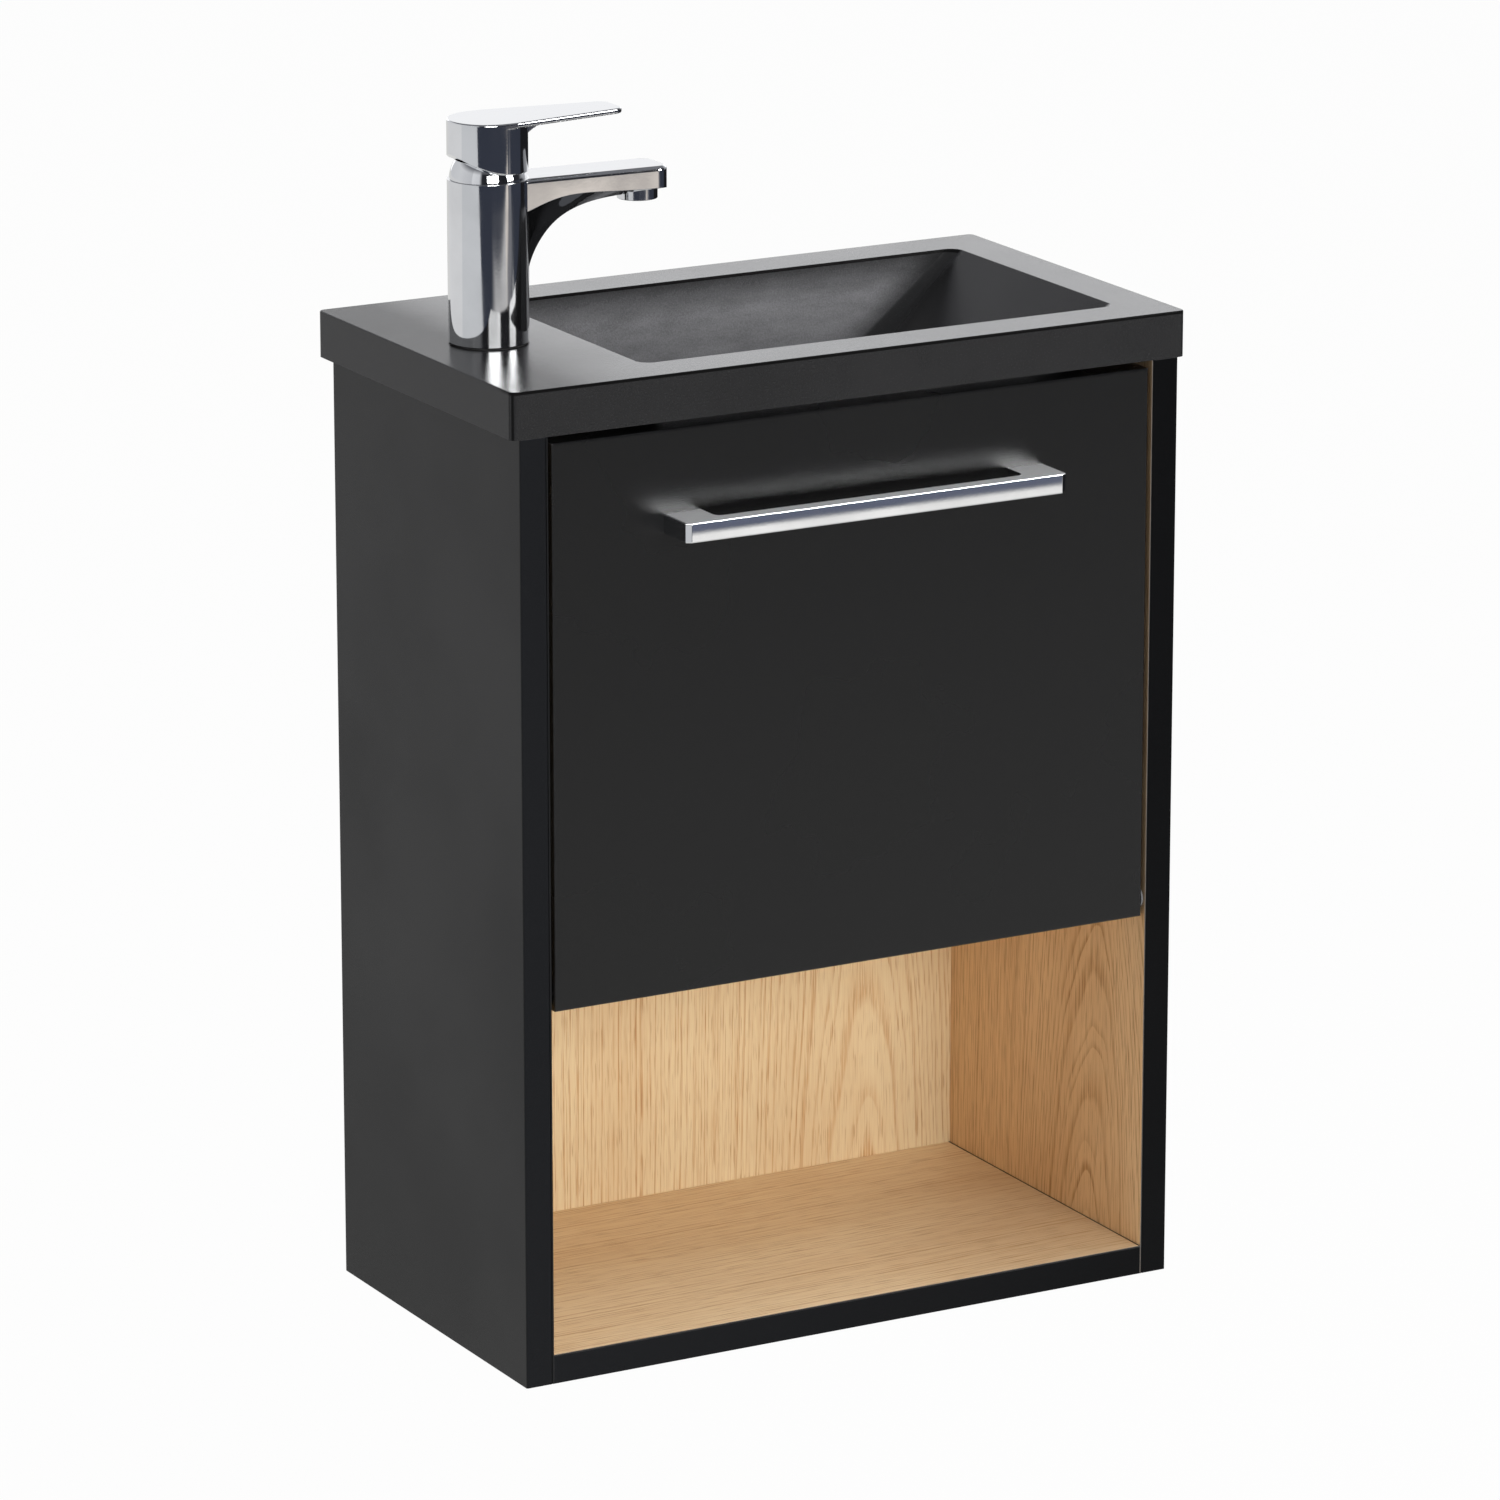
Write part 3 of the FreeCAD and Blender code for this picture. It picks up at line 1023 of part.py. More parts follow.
def make_waste():
    """Waste body with flange, its seal, washer and nut, the plug guide and the plug."""
    body = waste_tube(WASTE_TUBE_BOTTOM, WASTE_TUBE_RADIUS, WASTE_TUBE_BORE, WASTE_TUBE_LENGTH)
    flange = waste_tube(WASTE_FLANGE_BOTTOM, WASTE_FLANGE_RADIUS, WASTE_TUBE_BORE, WASTE_FLANGE)
    body = body.fuse(flange).removeSplitter()
    seal = waste_tube(BOWL_FLOOR, WASTE_FLANGE_RADIUS, WASTE_HOLE_RADIUS, WASTE_SEAL)
    washer_bottom = BOWL_UNDERSIDE - WASTE_WASHER
    washer = waste_tube(washer_bottom, WASTE_WASHER_RADIUS, WASTE_TUBE_RADIUS + FIT, WASTE_WASHER)
    nut = waste_tube(washer_bottom - WASTE_NUT, WASTE_NUT_RADIUS, WASTE_TUBE_RADIUS + FIT, WASTE_NUT)

    guide_bottom = WASTE_FLANGE_TOP - GUIDE_DROP - GUIDE_HEIGHT
    bore = PLUG_STEM_RADIUS + PLUG_STEM_RUNNING
    guide = rod((WASTE_X, WASTE_Y, guide_bottom), Z_AXIS, GUIDE_HUB_RADIUS, GUIDE_HEIGHT)
    for half_x, half_y in ((WASTE_TUBE_BORE, GUIDE_ARM / 2), (GUIDE_ARM / 2, WASTE_TUBE_BORE)):
        guide = guide.fuse(box(WASTE_X - half_x, WASTE_X + half_x, WASTE_Y - half_y, WASTE_Y + half_y,
                               guide_bottom, guide_bottom + GUIDE_HEIGHT))
    guide = guide.common(rod((WASTE_X, WASTE_Y, guide_bottom), Z_AXIS, WASTE_TUBE_BORE - FIT, GUIDE_HEIGHT))
    guide = guide.cut(rod((WASTE_X, WASTE_Y, guide_bottom), Z_AXIS, bore, GUIDE_HEIGHT))

    plug_bottom = WASTE_FLANGE_TOP + PLUG_GAP
    plug = rod((WASTE_X, WASTE_Y, plug_bottom), Z_AXIS, PLUG_RADIUS, PLUG_THICKNESS)
    plug = fillet(plug, PLUG_DOME, lambda edge: level_edge(edge, plug_bottom + PLUG_THICKNESS))
    plug = plug.fuse(rod((WASTE_X, WASTE_Y, plug_bottom - PLUG_STEM_LENGTH), Z_AXIS, PLUG_STEM_RADIUS,
                         PLUG_STEM_LENGTH))
    return body, seal, washer, nut, guide, plug


def make_trap():
    """Bottle trap: union nut, dip pipe, body with outlet, cup, outlet nut and the pipe to the wall."""
    pipe_bore = PIPE_RADIUS - PIPE_WALL
    body_bottom = TRAP_TOP - TRAP_BODY_HEIGHT
    cup_bottom = body_bottom - TRAP_CUP_HEIGHT
    inlet_bottom = cup_bottom + TRAP_WALL + INLET_PIPE_ABOVE_CUP
    flange_bottom = WASTE_TUBE_BOTTOM - INLET_PIPE_FLANGE
    inlet = waste_tube(inlet_bottom, PIPE_RADIUS, pipe_bore, WASTE_TUBE_BOTTOM - inlet_bottom)
    flange = waste_tube(flange_bottom, WASTE_TUBE_RADIUS, pipe_bore, INLET_PIPE_FLANGE)
    inlet = inlet.fuse(flange).removeSplitter()
    nut_bottom = flange_bottom - INLET_NUT_LIP
    nut = waste_tube(nut_bottom, INLET_NUT_RADIUS, PIPE_RADIUS + FIT, INLET_NUT_LIP)
    nut = nut.fuse(waste_tube(flange_bottom, INLET_NUT_RADIUS, WASTE_TUBE_RADIUS + FIT,
                              INLET_NUT_HEIGHT - INLET_NUT_LIP)).removeSplitter()

    body = rod((WASTE_X, WASTE_Y, body_bottom), Z_AXIS, TRAP_RADIUS, TRAP_BODY_HEIGHT)
    spigot = rod((WASTE_X, WASTE_Y, TRAP_OUTLET_HEIGHT), Y_AXIS, TRAP_SPIGOT_RADIUS, TRAP_SPIGOT_REACH)
    body = body.fuse(spigot)
    body = body.cut(rod((WASTE_X, WASTE_Y, body_bottom), Z_AXIS, TRAP_RADIUS - TRAP_WALL,
                        TRAP_BODY_HEIGHT - TRAP_WALL))
    body = body.cut(rod((WASTE_X, WASTE_Y, body_bottom), Z_AXIS, PIPE_RADIUS + FIT, TRAP_BODY_HEIGHT))
    body = body.cut(rod((WASTE_X, WASTE_Y, TRAP_OUTLET_HEIGHT), Y_AXIS, PIPE_INSERT_RADIUS + FIT,
                        TRAP_SPIGOT_REACH))

    cup = rod((WASTE_X, WASTE_Y, cup_bottom), Z_AXIS, TRAP_RADIUS, TRAP_CUP_HEIGHT)
    cup = fillet(cup, TRAP_CUP_ROUNDING, lambda edge: level_edge(edge, cup_bottom))
    cup = cup.cut(rod((WASTE_X, WASTE_Y, cup_bottom + TRAP_WALL), Z_AXIS, TRAP_RADIUS - TRAP_WALL,
                      TRAP_CUP_HEIGHT))

    spigot_end = WASTE_Y + TRAP_SPIGOT_REACH
    outlet_nut = tube((WASTE_X, spigot_end - OUTLET_NUT_OVERLAP, TRAP_OUTLET_HEIGHT), Y_AXIS,
                      OUTLET_NUT_RADIUS, TRAP_SPIGOT_RADIUS + FIT, OUTLET_NUT_OVERLAP)
    lip = OUTLET_NUT_LENGTH - OUTLET_NUT_OVERLAP
    outlet_nut = outlet_nut.fuse(tube((WASTE_X, spigot_end, TRAP_OUTLET_HEIGHT), Y_AXIS, OUTLET_NUT_RADIUS,
                                      PIPE_INSERT_RADIUS + FIT, lip)).removeSplitter()
    insert_start = WASTE_Y + TRAP_RADIUS
    pipe_start = spigot_end + lip
    insert = tube((WASTE_X, insert_start, TRAP_OUTLET_HEIGHT), Y_AXIS, PIPE_INSERT_RADIUS, pipe_bore,
                  pipe_start - insert_start)
    pipe = tube((WASTE_X, pipe_start, TRAP_OUTLET_HEIGHT), Y_AXIS, PIPE_RADIUS, pipe_bore, -pipe_start)
    return nut, inlet, body, cup, outlet_nut, pipe.fuse(insert).removeSplitter()


write("basin", make_basin())

write("tap_body", make_tap_body())
write("tap_base_seal", make_tap_seal())
housing, ring, rotor, pin = make_cartridge()
write("cartridge_housing", housing)
write("cartridge_ring", ring)
write("cartridge_rotor", rotor)
write("lever_pivot_pin", pin)
write("tap_collar", make_collar())
write("lever_stem", make_stem())
write("tap_lever", make_lever())
grub, index_plug = make_lever_small_parts()
write("lever_grub_screw", grub)
write("lever_index_plug", index_plug)
aerator_ring, aerator_insert = make_aerator()
write("aerator_ring", aerator_ring)
write("aerator_insert", aerator_insert)
fixing_names = ("tap_stud", "tap_rubber_washer", "tap_steel_washer", "tap_stud_nut")
for name, piece in zip(fixing_names, make_tap_fixing()):
    write(name, piece)

waste_names = ("waste_body", "waste_seal", "waste_washer", "waste_nut", "plug_guide", "waste_plug")
for name, piece in zip(waste_names, make_waste()):
    write(name, piece)
trap_names = ("trap_inlet_nut", "trap_inlet_pipe", "trap_body", "trap_cup", "trap_outlet_nut",
              "trap_outlet_pipe")
for name, piece in zip(trap_names, make_trap()):
    write(name, piece)

hanger_places, stay_places = bracket_screw_places()
left_panel, left_lining = make_side(hanger_places + stay_places)
right_panel, right_lining = make_side(hanger_places)
write("left_side_panel", left_panel)
write("left_lining", left_lining)
write("right_side_panel", mirrored(right_panel))
write("right_lining", mirrored(right_lining))
bottom_panel, bottom_lining = make_bottom()
write("bottom_panel", bottom_panel)
write("bottom_lining", bottom_lining)
write("niche_back_panel", make_back())
write("fixed_shelf", make_shelf())
write("rear_rail", make_rear_rail())
dowel_set, bolt_set, lock_set = make_joinery()
write("dowels", *dowel_set)
write("cam_bolts", *bolt_set)
write("cam_locks", *lock_set)

write("flap_panel", make_flap())
write("flap_handle", make_handle())
write("handle_screws", *make_handle_screws())
pivot_pins, pivot_bushes = make_pivots()
write("pivot_pins", *pivot_pins)
write("pivot_bushes", *pivot_bushes)
write("flap_stops", *make_flap_stops())
stay_names = ("stay_side_bracket", "stay_side_arm", "stay_flap_arm", "stay_flap_bracket")
for name, piece in zip(stay_names, make_stay()):
    write(name, piece)
write("flap_bracket_screws", *make_flap_bracket_screws())

write("wall_rail", make_wall_rail())
write("hanger_brackets", *both_sides([make_hanger()]))
write("bracket_screws", *make_bracket_screws())
write("wall_spacers", *make_spacers())
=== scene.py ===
# %% [markdown]
# # A small wall-hung vanity unit
#
# The unit has a black basin slab, a chrome tap, a black cabinet with a drop
# flap and an oak-lined niche under it. Its solids come ready made, each in its
# own place, so this lesson is about finishes, light and a camera. We load the
# solids first and note the box that they fill, because nothing may outgrow it.

# %% Load the solids
import bpy
import bmesh
import math
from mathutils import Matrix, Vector


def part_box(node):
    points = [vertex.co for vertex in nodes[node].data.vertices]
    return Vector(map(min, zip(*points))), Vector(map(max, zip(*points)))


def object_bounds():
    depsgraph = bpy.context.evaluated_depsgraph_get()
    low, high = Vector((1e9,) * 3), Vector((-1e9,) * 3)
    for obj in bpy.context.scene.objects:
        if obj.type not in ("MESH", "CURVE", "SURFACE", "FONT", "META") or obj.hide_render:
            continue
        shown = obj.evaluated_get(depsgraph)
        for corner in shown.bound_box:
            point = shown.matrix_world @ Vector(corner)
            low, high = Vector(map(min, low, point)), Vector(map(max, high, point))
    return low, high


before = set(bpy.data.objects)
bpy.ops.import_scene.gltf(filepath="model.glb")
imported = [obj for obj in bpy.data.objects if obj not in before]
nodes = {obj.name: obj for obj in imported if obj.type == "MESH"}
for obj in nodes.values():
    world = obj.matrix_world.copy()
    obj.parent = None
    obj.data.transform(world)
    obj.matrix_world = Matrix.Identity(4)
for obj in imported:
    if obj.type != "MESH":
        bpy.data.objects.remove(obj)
solids_low, solids_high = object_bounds()
print("solids loaded:", len(nodes), "from", tuple(solids_low), "to", tuple(solids_high))

# %% [markdown]
# The camera stands high on the left, far back with a long lens, so the upright
# edges stay nearly parallel. Guessing such a view by eye takes many tries.
# Corners of the slab, the flap and the cabinet were fitted instead, and that
# gave the place, the two angles and the focal length below.

# %% Camera
CAMERA_PLACE = (-2.2667, -4.21404, 1.10168)
CAMERA_DOWN = math.radians(15.625)
CAMERA_TO_RIGHT = math.radians(28.989)
SENSOR_WIDTH = 36.0
FOCAL_LENGTH = 193.576

lens = bpy.data.cameras.new("long_lens")
lens.sensor_width = SENSOR_WIDTH
lens.lens = FOCAL_LENGTH
camera = bpy.data.objects.new("camera", lens)
camera.location = CAMERA_PLACE
camera.rotation_euler = (math.pi / 2 - CAMERA_DOWN, 0.0, -CAMERA_TO_RIGHT)

scene = bpy.context.scene
scene.collection.objects.link(camera)
scene.camera = camera
scene.view_settings.view_transform = "Standard"
print("camera at", tuple(camera.location), "with a lens of", lens.lens, "mm")

# %% [markdown]
# Every finish below is a small tree of shader nodes. Adding nodes by hand takes
# three lines each, so one helper fills a node's inputs, by a wire or by a plain
# value, and a second one places a node and sets its options. Another turns a
# screen shade such as E3C48F into the linear colour that shaders expect, and
# the last one starts a node group.

# %% Helpers for shader trees
def feed(tree, node, wires):
    """Fills inputs of a node, found by name or number, by a wire or a value."""
    for name, value in wires.items():
        if isinstance(value, bpy.types.NodeSocket):
            tree.links.new(value, node.inputs[name])
        else:
            node.inputs[name].default_value = value


def place(tree, kind, wires=None, **options):
    """Adds a shader node, sets its options and fills its inputs."""
    made = tree.nodes.new("ShaderNode" + kind)
    for name, value in options.items():
        setattr(made, name, value)
    feed(tree, made, wires or {})
    return made


def shade(code):
    """Linear colour of a six-digit screen shade."""
    parts = [int(code[at:at + 2], 16) / 255 for at in (0, 2, 4)]
    linear = [p / 12.92 if p < 0.04045 else ((p + 0.055) / 1.055) ** 2.4 for p in parts]
    return (*linear, 1.0)


def start_group(name, inputs, outputs):
    """Empty node group with named sockets; gives its tree, what it is given and its end."""
    tree = bpy.data.node_groups.new(name, "ShaderNodeTree")
    for label, kind, value in inputs:
        socket = tree.interface.new_socket(label, in_out="INPUT", socket_type="NodeSocket" + kind)
        socket.default_value = value
    for label, kind in outputs:
        tree.interface.new_socket(label, in_out="OUTPUT", socket_type="NodeSocket" + kind)
    start = tree.nodes.new("NodeGroupInput")
    end = tree.nodes.new("NodeGroupOutput")
    return tree, start.outputs, end


print("E3C48F in linear light is", [round(part, 3) for part in shade("E3C48F")])

# %% [markdown]
# Finishes are put together from masks: numbers from 0 to 1 that tell where
# something is. Painting them by hand would tie them to one shape. Sums of places,
# normals and noise follow the shape instead. The helpers below make such sums
# short: `compute` is one step of arithmetic, `ramp` turns one range of values
# into another, and `mix` and `blend` lie between two numbers or two colours.

# %% Helpers for masks
def compute(tree, operation, first, second=0.0, third=0.0, clamp=False):
    """Result of one step of arithmetic."""
    made = place(tree, "Math", {0: first, 1: second, 2: third}, operation=operation,
                 use_clamp=clamp)
    return made.outputs["Value"]


def ramp(tree, value, start, end, low=0.0, high=1.0, shape="LINEAR"):
    """Runs from low to high while the value runs from start to end, and stays there."""
    made = place(tree, "MapRange", {"Value": value, "From Min": start, "From Max": end,
                                    "To Min": low, "To Max": high}, interpolation_type=shape)
    return made.outputs["Result"]


def spread(tree, value, low, high):
    """Value from 0 to 1 laid between two ends."""
    return ramp(tree, value, 0.0, 1.0, low, high)


def mix(tree, amount, first, second):
    """Number between two others, by a mask or a number."""
    return place(tree, "Mix", {0: amount, 2: first, 3: second}).outputs[0]


def blend(tree, amount, first, second):
    """Colour between two others, by a mask or a number."""
    return place(tree, "Mix", {0: amount, 6: first, 7: second}, data_type="RGBA").outputs[2]


def noise(tree, where, scale, detail):
    """Soft noise from 0 to 1 at the places of a vector."""
    return place(tree, "TexNoise", {"Vector": where, "Scale": scale, "Detail": detail}).outputs["Fac"]


def split(tree, vector):
    """X, Y and Z of a vector."""
    return place(tree, "SeparateXYZ", {0: vector}).outputs


def stretch(tree, vector, factors):
    """Vector with its own factor along each axis."""
    return place(tree, "VectorMath", {0: vector, 1: factors}, operation="MULTIPLY").outputs["Vector"]


print("helpers for masks are ready")

# %% [markdown]
# No real surface is even. Cast stone, lacquer, metal and plastic all have soft
# clouds of tone and a fine grit. A painted picture could hold both, but noise
# in the object's own metres needs no picture and keeps its scale on every
# piece. Most finishes use it, so it is a node group.

# %% Group: uneven surface
GRIT_IN_HEIGHT = 0.9

uneven, given, end = start_group(
    "Uneven Surface",
    [("Position", "Vector", (0.0, 0.0, 0.0)), ("Cloud Scale", "Float", 12.0),
     ("Grit Scale", "Float", 900.0)],
    [("Clouds", "Float"), ("Grit", "Float"), ("Height", "Float")])
cloud_noise = noise(uneven, given["Position"], given["Cloud Scale"], detail=4.0)
clouds = ramp(uneven, cloud_noise, 0.2, 0.8, shape="SMOOTHERSTEP")
grit_noise = noise(uneven, given["Position"], given["Grit Scale"], detail=2.0)
grit = ramp(uneven, grit_noise, 0.3, 0.7)
height = mix(uneven, GRIT_IN_HEIGHT, clouds, grit)
feed(uneven, end, {"Clouds": clouds, "Grit": grit, "Height": height})
print("group made:", uneven.name)

# %% [markdown]
# Handled edges lose their colour first: boards show a pale line, metal gets
# brighter. On the flap and the boards, the pale line is also painted highlight:
# the light that a rounded edge catches. Cutting real bevels into every board
# would change its solid. The Bevel node gives the normal that a rounded edge
# would have, and where it leans away from the true normal there is an edge.
# Noise breaks the line up.

# %% Group: worn and highlighted edges
BREAK_SCALE = 90.0
LEAST_WEAR = 0.35

worn_and_highlighted, given, end = start_group(
    "Worn and Highlighted Edges",
    [("Position", "Vector", (0.0, 0.0, 0.0)), ("Width", "Float", 0.001)],
    [("Mask", "Float"), ("Normal", "Vector")])
rounded = place(worn_and_highlighted, "Bevel", {"Radius": given["Width"]}, samples=6).outputs["Normal"]
true_normal = place(worn_and_highlighted, "NewGeometry").outputs["Normal"]
lean = place(worn_and_highlighted, "VectorMath", {0: rounded, 1: true_normal}, operation="DOT_PRODUCT")
edge = ramp(worn_and_highlighted, lean.outputs["Value"], 0.99, 0.8)
breaks = noise(worn_and_highlighted, given["Position"], BREAK_SCALE, detail=3.0)
broken = ramp(worn_and_highlighted, breaks, 0.35, 0.6, low=LEAST_WEAR)
feed(worn_and_highlighted, end, {"Mask": compute(worn_and_highlighted, "MULTIPLY", edge, broken), "Normal": rounded})
print("group made:", worn_and_highlighted.name)

# %% [markdown]
# A finish starts from the same parts each time: a material, a Principled shader
# and the object's own coordinates, often with the two groups and a relief. The
# last helper puts a finish on the pieces that wear it. The solids keep their
# meshes, and only their slots change.

# %% Helpers for finishes
def start_finish(name, plain):
    """New material; plain holds inputs of its shader that are even all over."""
    material = bpy.data.materials.new(name)
    material.use_nodes = True
    tree = material.node_tree
    tree.nodes.clear()
    shader = place(tree, "BsdfPrincipled", plain)
    place(tree, "OutputMaterial", {"Surface": shader.outputs["BSDF"]})
    position = place(tree, "TexCoord").outputs["Object"]
    return material, tree, shader, position


def way_faced(tree):
    """X, Y and Z of the normal, in the object's own axes."""
    return split(tree, place(tree, "TexCoord").outputs["Normal"])


def surface_of(tree, position, cloud_scale, grit_scale):
    """Clouds, grit and height of an uneven surface."""
    scales = {"Position": position, "Cloud Scale": cloud_scale, "Grit Scale": grit_scale}
    return place(tree, "Group", scales, node_tree=uneven).outputs


def edges_of(tree, position, width):
    """Mask and rounded normal of worn edges, also used for painted edge highlights."""
    return place(tree, "Group", {"Position": position, "Width": width}, node_tree=worn_and_highlighted).outputs


def emboss(tree, shader, height, strength, distance, normal=None):
    """Relief on a finish: a height bumps the normal."""
    wires = {"Height": height, "Strength": strength, "Distance": distance}
    if normal is not None:
        wires["Normal"] = normal
    feed(tree, shader, {"Normal": place(tree, "Bump", wires).outputs["Normal"]})


dressed = set()


def dress(material, *names):
    """Puts a finish on every slot of the named pieces."""
    for name in names:
        mesh = nodes[name].data
        mesh.materials.clear()
        mesh.materials.append(material)
        dressed.add(name)
    print(material.name, "is on", ", ".join(names))


print("helpers for finishes are ready")

# %% [markdown]
# The basin is cast from stone dust and resin, dyed black and left with a satin
# skin. Near the light it turns grey, because a skin seen at a low angle mirrors
# the room. A plain glossy black would look wet, so clouds and grit change its
# roughness, and a faint fleck of stone dust shows in the colour. On the bowl's
# rear wall, wiping has left a grey haze, and the same grey also paints the broad
# highlight that falls there. Masks find it: a wall that faces the front, behind
# the front rim, lighter further down and gone near the corner by the ramp, where
# shade is left. That corner is a slanting line, so its X is worked out from the
# height.

# %% Finish: black cast stone
STONE_DARK = (0.012, 0.012, 0.0126, 1)
STONE_PALE = (0.017, 0.017, 0.0178, 1)
STONE_DUST = (0.04, 0.04, 0.042, 1)
FRONT_RIM_ENDS = (-0.240, -0.232)
HAZE_AND_HIGHLIGHT_ABOVE_RIM = 0.001
HAZE_AND_HIGHLIGHT_BELOW_RIM = 0.022
CORNER_SLOPE = 1.15
CORNER_PLACE = 0.085
CORNER_FADE = (-0.036, 0.004)

cast_stone, tree, shader, position = start_finish("black_cast_stone", {"IOR": 1.5})
surface = surface_of(tree, position, cloud_scale=9.0, grit_scale=1100.0)
body = blend(tree, surface["Clouds"], STONE_DARK, STONE_PALE)
fleck = ramp(tree, surface["Grit"], 0.72, 1.0, high=0.45)
flecked = blend(tree, fleck, body, STONE_DUST)
rim_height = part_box("basin")[1].z
spot = split(tree, position)
facing = way_faced(tree)
walls = ramp(tree, facing["Y"], -0.86, -0.985, shape="SMOOTHSTEP")
below_rim = ramp(tree, spot["Z"], rim_height + HAZE_AND_HIGHLIGHT_ABOVE_RIM, rim_height - HAZE_AND_HIGHLIGHT_BELOW_RIM)
inside = ramp(tree, spot["Y"], *FRONT_RIM_ENDS)
corner_line = compute(tree, "MULTIPLY_ADD", spot["Z"], CORNER_SLOPE, CORNER_PLACE)
to_corner = compute(tree, "SUBTRACT", corner_line, spot["X"])
off_corner = ramp(tree, to_corner, *CORNER_FADE, shape="SMOOTHSTEP")
print("rim at", round(rim_height, 4), "m")

# %% [markdown]
# Hands and cloths move along the wall, so the haze is streaked along X: noise in
# coordinates that are stretched least along X. Broad patches and the stone's own
# grit break the streaks up. The mask lightens the colour, as haze and as painted
# highlight, and dulls the skin.

# %% Haze and painted highlight on the cast stone
# This grey paints both the wiping haze and the broad highlight on the rear wall.
HAZE_AND_HIGHLIGHT_TONE = (0.335, 0.335, 0.35, 1)
HAZE_ROUGHNESS = 0.55
STREAK_SCALE = (40.0, 90.0, 150.0)
PATCH_SCALE = 14.0
GRIT_IN_HAZE = 0.5

streaks = place(tree, "Mapping", {"Vector": position, "Scale": STREAK_SCALE}).outputs["Vector"]
wiping = noise(tree, streaks, scale=1.0, detail=5.0)
patches = noise(tree, position, PATCH_SCALE, detail=3.0)
patchy = compute(tree, "ADD", wiping, patches)
grainy = compute(tree, "MULTIPLY_ADD", surface["Grit"], GRIT_IN_HAZE, patchy)
haze_and_highlight = ramp(tree, grainy, 0.65, 1.85, low=0.4)
for mask in (walls, below_rim, inside, off_corner):
    haze_and_highlight = compute(tree, "MULTIPLY", haze_and_highlight, mask)
# Painted highlight: the rear wall's colour is lightened towards the grey.
hazy_and_highlighted = blend(tree, haze_and_highlight, flecked, HAZE_AND_HIGHLIGHT_TONE)
skin = spread(tree, surface["Clouds"], 0.17, 0.23)
dull = mix(tree, haze_and_highlight, skin, HAZE_ROUGHNESS)
print("haze and skin laid on", cast_stone.name)

# %% [markdown]
# A cast slab does not shine alike all over. Its left end was ground and mirrors
# less, as does the left of the deck, where hands rest. The bowl's rear wall and
# the coved corner by the ramp are dull, since no polishing pad reaches them.
# Along the upper edges that face the front, and down the slab's front corner,
# runs a fine dark line of painted shade along the rounded arris. Each place has
# its own mask, and the masks lower the shine one after the other.

# %% Shine and painted arris shade of the cast stone
FULL_SHINE = 0.5
HAND_REST = (-0.110, -0.195)
ARRIS_HEIGHT = 0.0018
# Colour of the painted shade line along the arris.
ARRIS_SHADE_TONE = (0.004, 0.004, 0.004, 1)
CORNER_ROUGHNESS = 0.48

left_end = compute(tree, "LESS_THAN", facing["X"], -0.9)
to_left = ramp(tree, spot["X"], *HAND_REST, shape="SMOOTHSTEP")
level_face = compute(tree, "GREATER_THAN", facing["Z"], 0.9)
left_deck = compute(tree, "MULTIPLY", to_left, level_face)
turned_both = compute(tree, "MULTIPLY", facing["X"], facing["Y"])
coved = ramp(tree, turned_both, 0.05, 0.3, shape="SMOOTHSTEP")
corner = compute(tree, "MULTIPLY", coved, inside)
rear_wall = compute(tree, "MULTIPLY", walls, inside)
outside = compute(tree, "SUBTRACT", 1.0, inside)
near_top = compute(tree, "GREATER_THAN", spot["Z"], rim_height - ARRIS_HEIGHT)
off_top = compute(tree, "LESS_THAN", facing["Z"], 0.8)
on_arris = compute(tree, "MULTIPLY", near_top, off_top)
to_front = compute(tree, "LESS_THAN", facing["Y"], -0.15)
in_shade = compute(tree, "MAXIMUM", outside, to_front)
level_arris = compute(tree, "MULTIPLY", on_arris, in_shade)
diagonal = ramp(tree, turned_both, 0.43, 0.48)
upright_arris = compute(tree, "MULTIPLY", diagonal, outside)
arris_shade = compute(tree, "MAXIMUM", level_arris, upright_arris)
shine = FULL_SHINE
for mask, level in ((left_end, 0.22), (left_deck, 0.05), (corner, 0.3), (rear_wall, 0.12),
                    (arris_shade, 0.12)):
    shine = mix(tree, mask, shine, level)
# The arris mask also paints a dark line of shade into the base colour.
feed(tree, shader, {"Specular IOR Level": shine,
                    "Base Color": blend(tree, arris_shade, hazy_and_highlighted, ARRIS_SHADE_TONE),
                    "Roughness": mix(tree, corner, dull, CORNER_ROUGHNESS)})
emboss(tree, shader, surface["Height"], strength=0.12, distance=0.0004)
dress(cast_stone, "basin")

# %% [markdown]
# The cabinet's boards are faced with a black decor film, and the flap with the
# same film, a little smoother. Pressing leaves a fine pearl in it, which breaks
# up reflections. The front edges carry an edging strip with a bluer black; its
# colour is painted lighter on the left and darker on the right, as the light
# falls on it. Each face's own normal tells which faces are front edges, so no
# extra piece is cut. The pale line along the rounded edges is painted highlight
# on the flap, and partly wear, partly painted highlight on the boards.

# %% Finish: black decor film
PEARL_TONE = (0.018, 0.018, 0.0186, 1)
# Painted highlight on the flap's rounded edges.
FLAP_EDGE_HIGHLIGHT = (0.10, 0.10, 0.105, 1)
# Pale board edges: partly wear, partly painted highlight.
BOARD_WEAR_AND_HIGHLIGHT = (0.06, 0.06, 0.063, 1)
LIT_EDGING_LEFT = (0.0085, 0.0092, 0.0110, 1)
SHADED_EDGING_RIGHT = (0.0014, 0.0016, 0.0022, 1)
FRONT_FACING = -0.7


